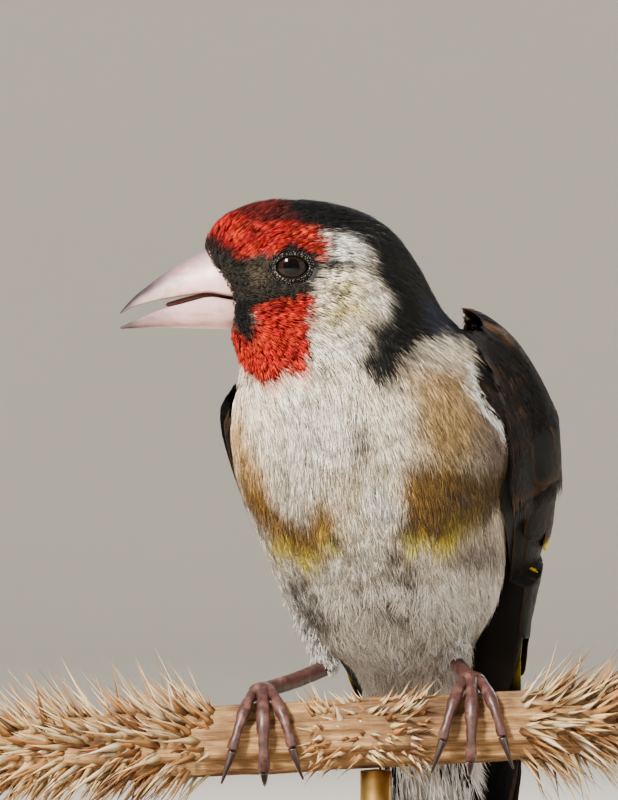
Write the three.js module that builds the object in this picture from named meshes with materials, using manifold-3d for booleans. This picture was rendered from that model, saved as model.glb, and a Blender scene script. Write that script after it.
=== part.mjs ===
// A european goldfinch, life size, gripping a cut length of dry thistle stem on a plain display stand.
// Millimetres, +Z up. The origin is the centre of the base's underside. The bird faces -Y, a little to
// its own right, and its head is turned to look along -X.

import * as THREE from "three";
import { mergeVertices } from "three/addons/utils/BufferGeometryUtils.js";
import Module from "manifold-3d";

const wasm = await Module();
wasm.setup();

const { degToRad, lerp, clamp, smoothstep } = THREE.MathUtils;
const at = (x, y, z) => new THREE.Vector3(x, y, z);

// Neighbouring pieces keep this gap, and no feather vane is thinner than VANE.
const GAP = 0.3;
const VANE = 0.6;

// Stand: a round base and one rod up to the perch.
const BASE_RADIUS = 54;
const BASE_HEIGHT = 8;
const ROD_RADIUS = 1.8;
const ROD_AT_X = 3;
const COLLAR_RADIUS = 4.2;
const COLLAR_HEIGHT = 2.6;

// Perch: the stem lies along X. Its top, at X = 0, is the bird group's origin.
const PERCH_TOP = 45;
const PERCH_LENGTH = 92;
const PERCH_RADIUS = 4.2;
const PERCH_SLOPE = degToRad(3);

// Body: its long axis dips to the rear by BODY_PITCH, and the bird is turned by BODY_YAW to its right.
const BODY_PITCH = degToRad(50);
const BODY_YAW = degToRad(14);
const BODY_CENTRE = at(3.2, 1.5, 24);
const TORSO_END = 33; // from the centre to where the tail starts
const TAIL_LENGTH = 49;
const WING_LENGTH = 79; // from the bend of the wing to its tip
const HEAD_CENTRE = at(-4.5, -9, 48);
const EYE_RADIUS = 2.7;

// Geometry helpers.

// A solid from a closed geometry. Only positions count, so seams in normals and textures close up.
function solid(geometry) {
  const bare = geometry.index ? geometry.toNonIndexed() : geometry.clone();
  for (const name of Object.keys(bare.attributes)) if (name !== "position") bare.deleteAttribute(name);
  const merged = mergeVertices(bare, 1e-4);
  const made = new wasm.Manifold(
    new wasm.Mesh({
      numProp: 3,
      vertProperties: new Float32Array(merged.attributes.position.array),
      triVerts: new Uint32Array(merged.index.array),
    }),
  );
  if (made.volume() >= 0) return made;
  for (let i = 0; i < merged.index.array.length; i += 3) {
    const kept = merged.index.array[i];
    merged.index.array[i] = merged.index.array[i + 1];
    merged.index.array[i + 1] = kept;
  }
  return new wasm.Manifold(
    new wasm.Mesh({
      numProp: 3,
      vertProperties: new Float32Array(merged.attributes.position.array),
      triVerts: new Uint32Array(merged.index.array),
    }),
  );
}

// The largest closed surface of a solid, so that sealed hollows fill and loose scraps go.
function largest(made) {
  return made.decompose().reduce((best, piece) => (piece.volume() > best.volume() ? piece : best));
}

const joined = (solids) => solids.reduce((sum, piece) => sum.add(piece));

// Moves every vertex of a geometry through a function of its position.
function mapped(geometry, move) {
  const positions = geometry.attributes.position;
  const point = at(0, 0, 0);
  for (let i = 0; i < positions.count; i++) {
    point.fromBufferAttribute(positions, i);
    const moved = move(point);
    positions.setXYZ(i, moved.x, moved.y, moved.z);
  }
  return geometry;
}

// A closed tube with flat or drawn-in ends: place(t, angle, radial) gives the point for t from 0 to 1 along it.
function tube(around, along, place) {
  const geometry = new THREE.CylinderGeometry(1, 1, 1, around, along);
  return mapped(geometry, (v) => place(v.y + 0.5, Math.atan2(v.z, v.x), Math.hypot(v.x, v.z)));
}

// A tube of round or oval section along a curve. radius(t) is a number or [sideways, upright].
function limb(curve, radius, around, along, up = at(0, 0, 1)) {
  return tube(around, along, (t, angle, radial) => {
    const tangent = curve.getTangentAt(t);
    const side = at(0, 0, 0).crossVectors(tangent, up).normalize();
    const top = at(0, 0, 0).crossVectors(side, tangent);
    const r = radius(t);
    const [wide, high] = Array.isArray(r) ? r : [r, r];
    return curve
      .getPointAt(t)
      .addScaledVector(side, wide * radial * Math.cos(angle))
      .addScaledVector(top, high * radial * Math.sin(angle));
  });
}

const curveThrough = (...points) => new THREE.CatmullRomCurve3(points);

// Reads a smooth curve through [t, value] pairs.
function profile(pairs) {
  const curve = new THREE.SplineCurve(pairs.map(([t, value]) => new THREE.Vector2(t, value)));
  const steps = curve.getPoints(pairs.length * 12);
  return (t) => {
    const after = steps.findIndex((p) => p.x >= t);
    if (after <= 0) return after === 0 ? steps[0].y : steps[steps.length - 1].y;
    const [a, b] = [steps[after - 1], steps[after]];
    return lerp(a.y, b.y, (t - a.x) / Math.max(b.x - a.x, 1e-9));
  };
}

// Repeatable random numbers from 0 to 1.
function dice(seed) {
  let state = seed;
  return () => {
    state = (state * 1664525 + 1013904223) % 4294967296;
    return state / 4294967296;
  };
}

// Body frame: x to the bird's left, y towards the tail along the body's axis, z to its back.
const leftward = at(Math.cos(BODY_YAW), -Math.sin(BODY_YAW), 0);
const tailward = at(
  Math.sin(BODY_YAW) * Math.cos(BODY_PITCH),
  Math.cos(BODY_YAW) * Math.cos(BODY_PITCH),
  -Math.sin(BODY_PITCH),
);
const dorsal = at(0, 0, 0).crossVectors(leftward, tailward);
const bodyFrame = new THREE.Matrix4().makeBasis(leftward, tailward, dorsal).setPosition(BODY_CENTRE);
const onBody = (x, y, z) => at(x, y, z).applyMatrix4(bodyFrame);
const upright = new THREE.Matrix4();

// One rounded mass: the rough distance of a point from an ellipsoid that stands in a frame.
function mass(frame, centre, radii) {
  const toLocal = frame.clone().invert();
  const p = at(0, 0, 0);
  return (point) => {
    p.copy(point).applyMatrix4(toLocal).sub(centre);
    const k0 = p.clone().divide(radii).length();
    const k1 = p.divide(radii).divide(radii).length();
    return k1 > 0 ? (k0 * (k0 - 1)) / k1 : -radii.x;
  };
}

// Several masses melted into one form, with fillets of about this width.
function melted(masses, width) {
  return (point) =>
    masses
      .map((m) => m(point))
      .reduce((a, b) => {
        const h = Math.max(width - Math.abs(a - b), 0) / width;
        return Math.min(a, b) - (h * h * width) / 4;
      });
}

// How far along a direction a field first rises to a level.
function reach(field, origin, direction, level, furthest) {
  const p = at(0, 0, 0);
  const value = (d) => field(p.copy(origin).addScaledVector(direction, d)) - level;
  let [inside, outside] = [0, furthest];
  for (let d = 0.5; d < furthest; d += 0.5) {
    if (value(d) > 0) {
      outside = d;
      break;
    }
    inside = d;
  }
  for (let i = 0; i < 14; i++) {
    const middle = (inside + outside) / 2;
    if (value(middle) > 0) outside = middle;
    else inside = middle;
  }
  return (inside + outside) / 2;
}

// Plumage outline: the masses that make the head, neck and torso.
const fromHead = (x, y, z) => at(x, y, z).add(HEAD_CENTRE);
const headMasses = [
  mass(upright, fromHead(2.2, 0, -0.8), at(9.3, 7.7, 8.8)), // crown
  mass(upright, fromHead(-4.6, 0, 2.8), at(7.3, 6.7, 5.5)), // forehead
  mass(upright, fromHead(-3.5, 0, -4.4), at(5.2, 6.3, 4.9)), // cheeks and chin
  mass(upright, fromHead(4.8, 0, -3.6), at(7.2, 7.8, 6.5)), // ear coverts and nape
];
const neckMasses = [
  mass(upright, at(1.4, -8.0, 36.4), at(10.2, 10.2, 8.6)), // throat ruff
  mass(upright, at(7.0, -4.6, 31.5), at(10.8, 9.6, 9.0)), // hind neck
];
const torsoMasses = [
  mass(bodyFrame, at(0, -7.0, -0.6), at(15.1, 21.0, 14.6)), // breast and back
  mass(bodyFrame, at(0, 8.0, -0.8), at(13.3, 16.0, 11.2)), // belly
  mass(bodyFrame, at(0, 22.0, 0.4), at(6.6, 16.0, 5.6)), // rump and vent
];
const bodyField = melted([...torsoMasses, ...neckMasses, ...headMasses], 4.2);

// The whole outline in one skin, seen from a curved spine that ends inside the head. Grown by a gap, it cuts the
// pieces that stand against it.
const spine = curveThrough(
  onBody(0, TORSO_END + 3, 0.2),
  onBody(0, 14, -0.6),
  onBody(0, -5, 0),
  at(1.6, -7.4, 38),
  fromHead(0.8, 0.4, -1.5),
);
const SPINE_SHARE = [-0.72, 0.3]; // of the way from the tail's pole to the head's pole, each from -1 to 1

function bodyOutline(grow = 0) {
  return mapped(new THREE.SphereGeometry(1, 28, 40), (v) => {
    const s = Math.asin(clamp(v.y, -1, 1)) / (Math.PI / 2);
    const round = Math.atan2(v.z, v.x);
    const t = clamp((s - SPINE_SHARE[0]) / (SPINE_SHARE[1] - SPINE_SHARE[0]), 0, 1);
    const tilt = (Math.PI / 2) * s * Math.abs(s) ** 0.6;
    const along = spine.getTangentAt(t);
    const out = at(0, 0, 0).crossVectors(leftward, along).normalize();
    const sideways = at(0, 0, 0).crossVectors(along, out);
    const direction = at(0, 0, 0)
      .addScaledVector(along, Math.sin(tilt))
      .addScaledVector(sideways, Math.cos(tilt) * Math.cos(round))
      .addScaledVector(out, Math.cos(tilt) * Math.sin(round));
    const origin = spine.getPointAt(t);
    return origin.addScaledVector(direction, reach(bodyField, origin, direction, grow, 24));
  });
}

// Thin cuts that part the head from the neck, the neck from the torso and the torso from the tail.
const headCut = { normal: at(-0.3, 0.04, 0.95).normalize(), through: at(0, -9, 41.6) };
const neckCut = { normal: at(-0.26, -0.3, 0.9).normalize(), through: at(2, -8, 35.2) };
const tailCut = { normal: tailward.clone().negate(), through: onBody(0, TORSO_END - 2, 0) };

const above = (made, { normal, through }, gap = 0) =>
  made.trimByPlane(normal.toArray(), normal.dot(through) + gap / 2);
const below = (made, { normal, through }, gap = 0) =>
  made.trimByPlane(normal.clone().negate().toArray(), -normal.dot(through) + gap / 2);

const wholeBody = solid(bodyOutline());
const grownBody = solid(bodyOutline(GAP));
const neckSolid = above(below(wholeBody, headCut, GAP), neckCut, GAP);
const torsoSolid = above(below(wholeBody, neckCut, GAP), tailCut, GAP);

// Eyes, and the lids that ring them.
const EYE_AT = at(-6.6, 0, 49.1);
const EYE_STANDS_PROUD = 0.75;
const LID_RADII = [2.15, 1.85];
const LID_THICKNESS = 0.42;

function eyeCentre(side) {
  const middle = EYE_AT.clone().setY(HEAD_CENTRE.y);
  const out = at(0, side, 0);
  const surface = reach(bodyField, middle, out, 0, 20);
  return middle.addScaledVector(out, surface + EYE_STANDS_PROUD - EYE_RADIUS);
}

const eyeball = (side, grow = 0) =>
  solid(new THREE.SphereGeometry(EYE_RADIUS + grow, 16, 12).translate(...eyeCentre(side).toArray()));

function lids(side) {
  const ring = new THREE.TorusGeometry(1, 0.01, 6, 20);
  const centre = eyeCentre(side);
  const height = EYE_RADIUS - EYE_STANDS_PROUD - 0.05;
  return solid(
    mapped(ring, (v) => {
      const angle = Math.atan2(v.y, v.x);
      const [outward, upward] = [(Math.hypot(v.x, v.y) - 1) * 100, v.z * 100];
      return at(
        (LID_RADII[0] + outward * LID_THICKNESS) * Math.cos(angle),
        side * (height + upward * LID_THICKNESS),
        (LID_RADII[1] + outward * LID_THICKNESS) * Math.sin(angle),
      ).add(centre);
    }),
  );
}

const headSolid = joined([above(wholeBody, headCut, GAP), lids(-1), lids(1)])
  .subtract(eyeball(-1, GAP))
  .subtract(eyeball(1, GAP));

// Bill: both halves are drawn by their edges in profile, from the gape at -11.5 to the tips at -26.
const BILL_FROM = -10.5;
const BILL_TIP = -26;
const culmen = profile([[-26.1, 44.05], [-24.6, 45.9], [-22.7, 47.3], [-21.2, 48.5], [-18.6, 50], [-15.5, 51.6], [-10.5, 52.4]]);
const upperEdge = profile([[-26.1, 43.85], [-24.6, 44.75], [-22.9, 45.25], [-20.1, 45.75], [-17.5, 46.15], [-15.9, 46.3], [-13.1, 45.75], [-10.5, 45.5]]);
const lowerEdge = profile([[-26.1, 42.4], [-23.5, 43.6], [-21.2, 44.5], [-19.7, 44.85], [-17.5, 45.45], [-15.9, 45.9], [-13.2, 45.4], [-10.5, 45.1]]);
const gonys = profile([[-26.1, 42.15], [-22.9, 42.3], [-19.7, 42.3], [-16.4, 42.2], [-13.1, 42.1], [-10.5, 41.8]]);
const billHalfWidth = profile([[-26.1, 0.14], [-25, 0.5], [-22.5, 1.3], [-19, 2.3], [-15.5, 3.2], [-12.5, 3.6], [-10.5, 3.7]]);
const PALATE_HOLLOW = 0.3; // share of the upper half's height
const NOSTRIL = { x: -14.9, z: 49.4, radius: 0.5 };

// One half of the bill, between a ridge and a cutting edge, with its inner face hollowed by a share of its height.
function billHalf(ridge, edge, hollow) {
  return tube(14, 12, (t, angle, radial) => {
    const x = lerp(BILL_FROM, BILL_TIP, t);
    const height = ridge(x) - edge(x);
    const lift = Math.sin(angle);
    const rise = lift > 0 ? lift ** 0.9 : -lift * hollow;
    const middle = height * (0.5 + hollow / 2);
    return at(
      x,
      HEAD_CENTRE.y + billHalfWidth(x) * Math.cos(angle) * radial,
      edge(x) + lerp(middle, height * rise, radial),
    );
  });
}

const nostril = (side) =>
  solid(new THREE.SphereGeometry(NOSTRIL.radius, 10, 8).scale(1.3, 1, 0.8)
    .translate(NOSTRIL.x, HEAD_CENTRE.y + side * (billHalfWidth(NOSTRIL.x) - 0.9), NOSTRIL.z));

const upperBill = solid(billHalf(culmen, upperEdge, PALATE_HOLLOW))
  .subtract(grownBody)
  .subtract(nostril(-1))
  .subtract(nostril(1));
const lowerBill = solid(billHalf(gonys, lowerEdge, 0.12)).subtract(grownBody);

// Tongue, on the floor of the open mouth.
const TONGUE_THICKNESS = 0.5;
const tongue = solid(
  limb(
    curveThrough(...[-12, -15, -18, -21].map((x) => at(x, HEAD_CENTRE.y, lowerEdge(x) + GAP + TONGUE_THICKNESS / 2))),
    (t) => [lerp(1.1, 0.5, t), TONGUE_THICKNESS / 2],
    8,
    6,
  ),
).subtract(grownBody);

const bird = new THREE.Group();
bird.position.z = PERCH_TOP;

function add(group, name, made, color, roughness = 0.8, metalness = 0) {
  const mesh = largest(made).getMesh();
  const stride = mesh.numProp;
  const vertices = new Float32Array(mesh.numVert * 3);
  for (let i = 0; i < mesh.numVert; i++) {
    vertices.set(mesh.vertProperties.subarray(i * stride, i * stride + 3), i * 3);
  }
  const geometry = new THREE.BufferGeometry();
  geometry.setAttribute("position", new THREE.BufferAttribute(vertices, 3));
  geometry.setIndex(new THREE.BufferAttribute(mesh.triVerts, 1));
  const material = new THREE.MeshStandardMaterial({ color, roughness, metalness });
  const made3d = new THREE.Mesh(geometry, material);
  made3d.name = name;
  group.add(made3d);
}

// Tail: a covered root, then rectrices that widen to a shallow fork. Body coordinates, y from the body's centre.
const TAIL_FROM = TORSO_END - 2 + GAP;
const TAIL_TIP = 74;
const TAIL_DROP = -2.7;
const tailRoot = solid(
  tube(20, 8, (t, angle, radial) => {
    const spread = (1 - t ** 4) ** 0.5 * radial;
    return onBody(
      lerp(6.4, 5.4, t) * spread * Math.cos(angle),
      lerp(TAIL_FROM, 47, t),
      lerp(0.4, TAIL_DROP, smoothstep(t, 0, 1)) + lerp(5.2, 1.2, smoothstep(t, 0, 0.7)) * spread * Math.sin(angle),
    );
  }),
);

// One feather vane, flat: y runs from 0 at its base to 1 at its tip, x is across in mm. Both faces are cut alike.
function flatVane(width, tipped = 0.9) {
  const halves = [[0, 0.42], [0.6, 0.52], [tipped, 0.34]];
  const right = halves.map(([y, half]) => new THREE.Vector2(half * width, y));
  const left = halves.map(([y, half]) => new THREE.Vector2(-half * width, y)).reverse();
  const shape = new THREE.Shape([...right, new THREE.Vector2(0, 1), ...left]);
  return new THREE.ExtrudeGeometry(shape, { depth: 1, bevelEnabled: false, curveSegments: 1 });
}

// Rectrices: the middle pair lies on top and is the shortest, and each further out lies a little lower.
const RECTRICES = 12;
const tailVanes = Array.from({ length: RECTRICES }, (_, i) => {
  const place = i - (RECTRICES - 1) / 2;
  const outer = Math.abs(place);
  const tip = TAIL_TIP - 2.6 + 0.48 * outer;
  return solid(
    mapped(flatVane(6.4, 0.93), (v) => {
      const x = lerp(0.5, 1.3, v.y) * place + v.x * lerp(0.62, 1, v.y);
      const lift = 1.5 - 0.34 * outer + 0.03 * (i % 2) - 0.01 * x * x;
      return onBody(x, lerp(38, tip, v.y), TAIL_DROP + lift + VANE * v.z);
    }),
  );
});
const tailSolid = joined([tailRoot, ...tailVanes]);

// Wings, folded on the flanks. Each is laid over the torso and over a flat mass that carries it past the rump.
// The left one droops out a little more than the right.
const wingRest = mass(bodyFrame, at(0, 10, -0.8), at(11.5, 54, 4));
const restField = melted([...torsoMasses, wingRest], 4.2);
const WINGS = {
  left: { side: 1, bend: -16.5, turned: 0, thick: 1.12 },
  right: { side: -1, bend: -16.5, turned: 9, thick: 0.85 },
};
const lowerEdgeAt = profile([[-20, 20], [-14, 7], [-4, 0], [10, -4], [24, -4], [34, 2], [46, 10], [62, 22]]);
const upperEdgeAt = profile([[-20, 34], [-16, 46], [-10, 56], [0, 65], [12, 70], [24, 72], [34, 66], [46, 56], [62, 30]]);
const wingDepth = profile([[-20, 2], [-15, 4.4], [-6, 6.2], [4, 5.8], [16, 4.4], [28, 3.4], [44, 2.4], [62, 1.3]]);

// A point of the wing's wrap: along the body, across from the lower edge to the upper, and out from the rest.
function onWing(wing, along, across, out) {
  const axis = onBody(0, along, lerp(1, -0.7, smoothstep(along, 25, 50)));
  const angle = degToRad(lerp(lowerEdgeAt(along) + wing.turned, upperEdgeAt(along), across));
  const direction = at(0, 0, 0)
    .addScaledVector(leftward, wing.side * Math.cos(angle))
    .addScaledVector(dorsal, Math.sin(angle));
  return axis.addScaledVector(direction, reach(restField, axis, direction, out, 34));
}

// The folded arm and the sheet of feather bases.
function wingSheet(wing, length, thinned) {
  return solid(
    tube(14, 18, (t, angle, radial) => {
      const along = lerp(wing.bend, wing.bend + length, t);
      const width = (1 - (1 - Math.min(t / 0.16, 1)) ** 2) ** 0.5 * (1 - t ** 5) ** 0.5;
      const across = 0.5 + 0.5 * width * Math.cos(angle) * radial;
      const depth = wingDepth(along) * wing.thick * thinned * lerp(1, 0.45, across) * (0.25 + 0.75 * width);
      const inner = GAP + 0.1;
      return onWing(wing, along, across, inner + depth * lerp(0.5, 0.5 + 0.5 * Math.sin(angle), radial));
    }),
  );
}

// Height of the folded arm's outer face, on which every vane is laid.
function armTop(wing, along, across) {
  const round = Math.sqrt(Math.max(0, 1 - (2 * clamp(across, 0, 1) - 1) ** 2));
  const depth = wingDepth(along) * wing.thick * lerp(1, 0.45, clamp(across, 0, 1));
  return GAP + 0.1 + ARM_SHARE * depth * (0.5 + 0.5 * round);
}

// Width of the wrap in mm, so that vanes keep their own width along it. Their bases sink into the arm.
const wrapWidth = profile([[-20, 8], [-10, 15], [5, 19], [20, 18], [34, 13], [46, 8], [62, 5.5]]);

function wingVane(wing, { from, to, across, width, layer }) {
  return solid(
    mapped(flatVane(width), (v) => {
      const along = lerp(from, to, v.y);
      const place = lerp(across[0], across[1], v.y) + v.x / wrapWidth(along);
      const raised = lerp(-VANE - 0.4, layer, smoothstep(v.y, 0, 0.6));
      return onWing(wing, along, place, armTop(wing, along, place) + raised + (VANE + 0.05) * v.z);
    }),
  );
}

// Rows of vanes, from the lower edge up. Each row steps out a little from one vane to the next, so that the upper
// ones lie over the lower ones, and each row of coverts lies over the bases of the row behind it.
const row = (count, at0) => Array.from({ length: count }, (_, i) => at0(i / (count - 1), i));
const ARM_SHARE = 0.84;
const wingTipAt = (wing) => wing.bend + WING_LENGTH;
const wingVanes = (wing) => [
  ...row(6, (s, i) => ({
    from: 16,
    to: wingTipAt(wing) - [0, 1.2, 4, 8, 12.4, 17][i],
    across: [lerp(0.2, 0.56, s), lerp(0.34, 0.74, s)],
    width: lerp(4.6, 5.6, s),
    layer: -0.5 + 0.26 * i,
  })),
  ...row(4, (s, i) => ({
    from: 2,
    to: lerp(33, 28, s),
    across: [lerp(0.2, 0.72, s), lerp(0.34, 0.8, s)],
    width: 5.8,
    layer: -0.1 + 0.28 * i,
  })),
  ...row(3, (s, i) => ({
    from: -4,
    to: lerp(36, 24, s),
    across: [lerp(0.7, 0.94, s), lerp(0.86, 0.98, s)],
    width: lerp(7, 5.6, s),
    layer: 0.75 + 0.32 * i,
  })),
  ...row(2, (s, i) => ({
    from: -11,
    to: lerp(22, 12, s),
    across: [lerp(0.06, 0.2, s), lerp(0.1, 0.26, s)],
    width: 4.2,
    layer: -0.25 + 0.2 * i,
  })),
  ...row(5, (s, i) => ({
    from: -8,
    to: lerp(13, 8, s),
    across: [lerp(0.2, 0.88, s), lerp(0.26, 0.92, s)],
    width: 6,
    layer: 0.5 + 0.22 * i,
  })),
  ...row(4, (s, i) => ({
    from: -14.5,
    to: lerp(1.5, -1.5, s),
    across: [lerp(0.22, 0.82, s), lerp(0.24, 0.86, s)],
    width: 6.6,
    layer: 0.95 + 0.24 * i,
  })),
];
const wingSolid = (wing) =>
  largest(
    joined([wingSheet(wing, 58, ARM_SHARE), ...wingVanes(wing).map((v) => wingVane(wing, v))]).subtract(grownBody),
  );

// Perch: a ribbed dry stem with spiny bracts. Its axis passes under X = 0 by the radius.
const PERCH_RIBS = 9;
const perchAxis = (x) => at(x, 0, -PERCH_RADIUS + x * Math.tan(PERCH_SLOPE));
const stem = (radius, ribs) =>
  solid(
    tube(36, 3, (t, angle, radial) => {
      const r = radius * radial * (1 - ribs * (0.5 - 0.5 * Math.cos(PERCH_RIBS * angle)));
      const x = lerp(-PERCH_LENGTH / 2, PERCH_LENGTH / 2, t);
      return perchAxis(x).add(at(0, r * Math.cos(angle), r * Math.sin(angle)));
    }),
  );
const grownStem = stem(PERCH_RADIUS + GAP, 0);

// Feet: where each leg stands on the perch, and the toes that wrap it.
const ANKLES = { right: at(-2.6, 9.5, 2.8), left: at(12.1, 6.4, 3.6) };
const FEET = { right: -10, left: 14 };
const TARSUS_RADIUS = 0.8;
const TOES = {
  inner: { length: 9.5, splay: 17, start: 0.7, radius: 0.68 },
  middle: { length: 12, splay: 1, start: 0, radius: 0.75 },
  outer: { length: 9.5, splay: -17, start: -0.7, radius: 0.68 },
  hind: { length: 7.6, splay: 0, start: 0, radius: 0.8 },
};
const CLAW_LENGTH = { inner: 3.8, middle: 4.2, outer: 3.8, hind: 5 };

// A path round the perch at a foot: over its top, to the front or the back, and a little off its surface.
function wrap(footX, toe, towards, radius) {
  const inward = footX < 3 ? 1 : -1;
  const points = [];
  for (let i = 0; i <= 8; i++) {
    const gone = lerp(towards.from, towards.to, i / 8);
    const across = toe.start * inward + gone * Math.sin(degToRad(toe.splay)) * inward;
    const turned = (gone * Math.cos(degToRad(toe.splay))) / (PERCH_RADIUS + GAP + radius);
    const angle = Math.PI / 2 + turned * (towards.back ? -1 : 1);
    const r = PERCH_RADIUS + GAP + 0.06 + radius + (towards.lift ?? 0) * (i / 8) ** 2;
    points.push(perchAxis(footX + across).add(at(0, r * Math.cos(angle), r * Math.sin(angle))));
  }
  return curveThrough(...points);
}

function foot(side) {
  const footX = FEET[side];
  const pad = perchAxis(footX).add(at(0, 0.3, PERCH_RADIUS + GAP + 1.0));
  const ankle = ANKLES[side];
  const shank = curveThrough(ankle.clone().add(at(0, 0.2, 0.4)), ankle.clone().lerp(pad, 0.5).add(at(0, 0.5, 0)), pad);
  const parts = [
    solid(limb(shank, (t) => [TARSUS_RADIUS * (0.92 + 0.3 * (2 * t - 1) ** 4), TARSUS_RADIUS * 1.1], 8, 6)),
    solid(new THREE.SphereGeometry(1, 8, 6).scale(1.5, 1.6, 0.95).translate(...pad.toArray())),
  ];
  for (const [name, toe] of Object.entries(TOES)) {
    const path = wrap(footX, toe, { from: 0, to: toe.length, back: name === "hind" }, toe.radius);
    const knuckled = (t) => toe.radius * (1.12 - 0.28 * t + 0.14 * Math.cos(t * Math.PI * 4));
    parts.push(solid(limb(path, knuckled, 7, 9, at(1, 0, 0))));
  }
  return largest(joined(parts).subtract(grownStem));
}

function claw(side, name) {
  const toe = TOES[name];
  const from = toe.length + 0.35;
  const path = wrap(FEET[side], toe, { from, to: from + CLAW_LENGTH[name], back: name === "hind", lift: 0.5 }, 0.5);
  return solid(limb(path, (t) => lerp(0.56, 0.12, t ** 0.8), 5, 4, at(1, 0, 0))).subtract(grownStem);
}

// Thighs: feathered cones from the belly to the ankle, each clear of the bare leg below it.
function thigh(side) {
  const ankle = ANKLES[side];
  const hip = ankle.clone().add(at(side === "right" ? -1.4 : -0.4, -4.6, 10));
  const path = curveThrough(hip, ankle.clone().lerp(hip, 0.5).add(at(0, 0.8, 0)), ankle.clone().add(at(0, 0.2, 0.5)));
  const made = solid(limb(path, (t) => lerp(3.6, 1.35, t ** 0.8), 14, 8, at(0, 1, 0)));
  const pad = perchAxis(FEET[side]).add(at(0, 0.3, PERCH_RADIUS + GAP + 1.0));
  const shank = curveThrough(ankle.clone().add(at(0, 0.2, 0.4)), ankle.clone().lerp(pad, 0.5).add(at(0, 0.5, 0)), pad);
  const sleeve = solid(limb(shank, () => TARSUS_RADIUS * 1.25 + GAP, 12, 6));
  const collarAt = ankle.clone().add(at(0, 0.2, 0.4));
  const round = solid(new THREE.SphereGeometry(TARSUS_RADIUS * 1.25 + GAP, 12, 8).translate(...collarAt.toArray()));
  return largest(made.subtract(grownBody).subtract(sleeve).subtract(round));
}

// Spiny bracts, kept clear of both feet and of the rod.
const SPINES = 26;
function bracts() {
  const roll = dice(7);
  const parts = [];
  for (let i = 0; i < SPINES; i++) {
    const share = (i + 0.5) / SPINES;
    const outer = share < 0.42 ? lerp(-44, -17.5, share / 0.42) : lerp(21, 44, (share - 0.56) / 0.44);
    const middle = share >= 0.42 && share < 0.56;
    const x = middle ? lerp(-2.5, 7, (share - 0.42) / 0.14) : outer;
    const angle = middle ? lerp(165, 235, roll()) : (i * 137.5 + 30 * roll()) % 360;
    const lean = (x < 3 ? -1 : 1) * lerp(0.25, 0.7, roll());
    const long = middle ? 4.5 : lerp(5, 8.5, roll());
    const out = at(lean, Math.cos(degToRad(angle)), Math.sin(degToRad(angle))).normalize();
    const root = perchAxis(x).addScaledVector(out, PERCH_RADIUS * 0.6);
    const cone = new THREE.ConeGeometry(0.75, long + PERCH_RADIUS * 0.4, 5, 1).translate(0, (long + PERCH_RADIUS * 0.4) / 2, 0);
    cone.applyQuaternion(new THREE.Quaternion().setFromUnitVectors(at(0, 1, 0), out)).translate(...root.toArray());
    parts.push(solid(cone));
  }
  return parts;
}
const perchSolid = largest(joined([stem(PERCH_RADIUS, 0.09), ...bracts()]));

// Stand pieces, in the root's frame.
const turned = (pairs, around = 40) =>
  new THREE.LatheGeometry(pairs.map(([r, z]) => new THREE.Vector2(r, z)), around).rotateX(Math.PI / 2);
const SOCKET_DEPTH = 5;
const rodHole = ROD_RADIUS + GAP;
const standBase = turned(
  [
    [0, 0],
    [BASE_RADIUS - 1.2, 0],
    [BASE_RADIUS, 1.2],
    [BASE_RADIUS, BASE_HEIGHT - 2.4],
    [BASE_RADIUS - 0.7, BASE_HEIGHT - 0.8],
    [BASE_RADIUS - 2.4, BASE_HEIGHT],
    [0, BASE_HEIGHT],
  ],
);
const standHole = new THREE.CylinderGeometry(rodHole, rodHole, 2 * SOCKET_DEPTH, 24)
  .rotateX(Math.PI / 2)
  .translate(ROD_AT_X, 0, BASE_HEIGHT);

add(bird, "head", headSolid, 0x2a2526);
add(bird, "neck", neckSolid, 0xd9d2c6);
add(bird, "torso", torsoSolid, 0xcfc4b2);
add(bird, "bill_upper", upperBill, 0xe6d5d2, 0.4);
add(bird, "bill_lower", lowerBill, 0xe6d5d2, 0.4);
add(bird, "tongue", tongue, 0x7a3a34, 0.5);
add(bird, "eye_left", eyeball(-1), 0x120c08, 0.1);
add(bird, "eye_right", eyeball(1), 0x120c08, 0.1);
add(bird, "tail", tailSolid, 0x1c1a1c);
add(bird, "wing_left", wingSolid(WINGS.left), 0x1c1a1c);
add(bird, "wing_right", wingSolid(WINGS.right), 0x1c1a1c);
for (const side of ["left", "right"]) {
  add(bird, `thigh_${side}`, thigh(side), 0xcfc4b2);
  add(bird, `leg_${side}`, foot(side), 0xb09a8e, 0.6);
  for (const name of Object.keys(TOES)) add(bird, `claw_${side}_${name}`, claw(side, name), 0x3a2f2c, 0.4);
}
add(bird, "perch_stem", perchSolid, 0x9a7a4c);

// The stand is centred on the origin. The rod rises from its hole at ROD_AT_X to the underside of the perch.
const rodFrom = BASE_HEIGHT - SOCKET_DEPTH + GAP;
const rodTo = PERCH_TOP - PERCH_RADIUS;
const rodSolid = solid(
  new THREE.CylinderGeometry(ROD_RADIUS, ROD_RADIUS, rodTo - rodFrom, 24)
    .rotateX(Math.PI / 2)
    .translate(ROD_AT_X, 0, (rodFrom + rodTo) / 2),
).subtract(grownStem.translate(0, 0, PERCH_TOP));
const collarSolid = solid(
  turned(
    [
      [rodHole, BASE_HEIGHT + GAP],
      [COLLAR_RADIUS, BASE_HEIGHT + GAP],
      [COLLAR_RADIUS, BASE_HEIGHT + COLLAR_HEIGHT - 0.6],
      [COLLAR_RADIUS - 0.6, BASE_HEIGHT + COLLAR_HEIGHT],
      [rodHole, BASE_HEIGHT + COLLAR_HEIGHT],
      [rodHole, BASE_HEIGHT + GAP],
    ],
    20,
  ).translate(ROD_AT_X, 0, 0),
);

const root = new THREE.Group();
root.add(bird);
add(root, "stand_base", solid(standBase).subtract(solid(standHole)), 0x5a3d26, 0.5);
add(root, "stand_rod", rodSolid, 0xb08d4a, 0.35, 0.9);
add(root, "stand_collar", collarSolid, 0xb08d4a, 0.35, 0.9);
export default root;
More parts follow.
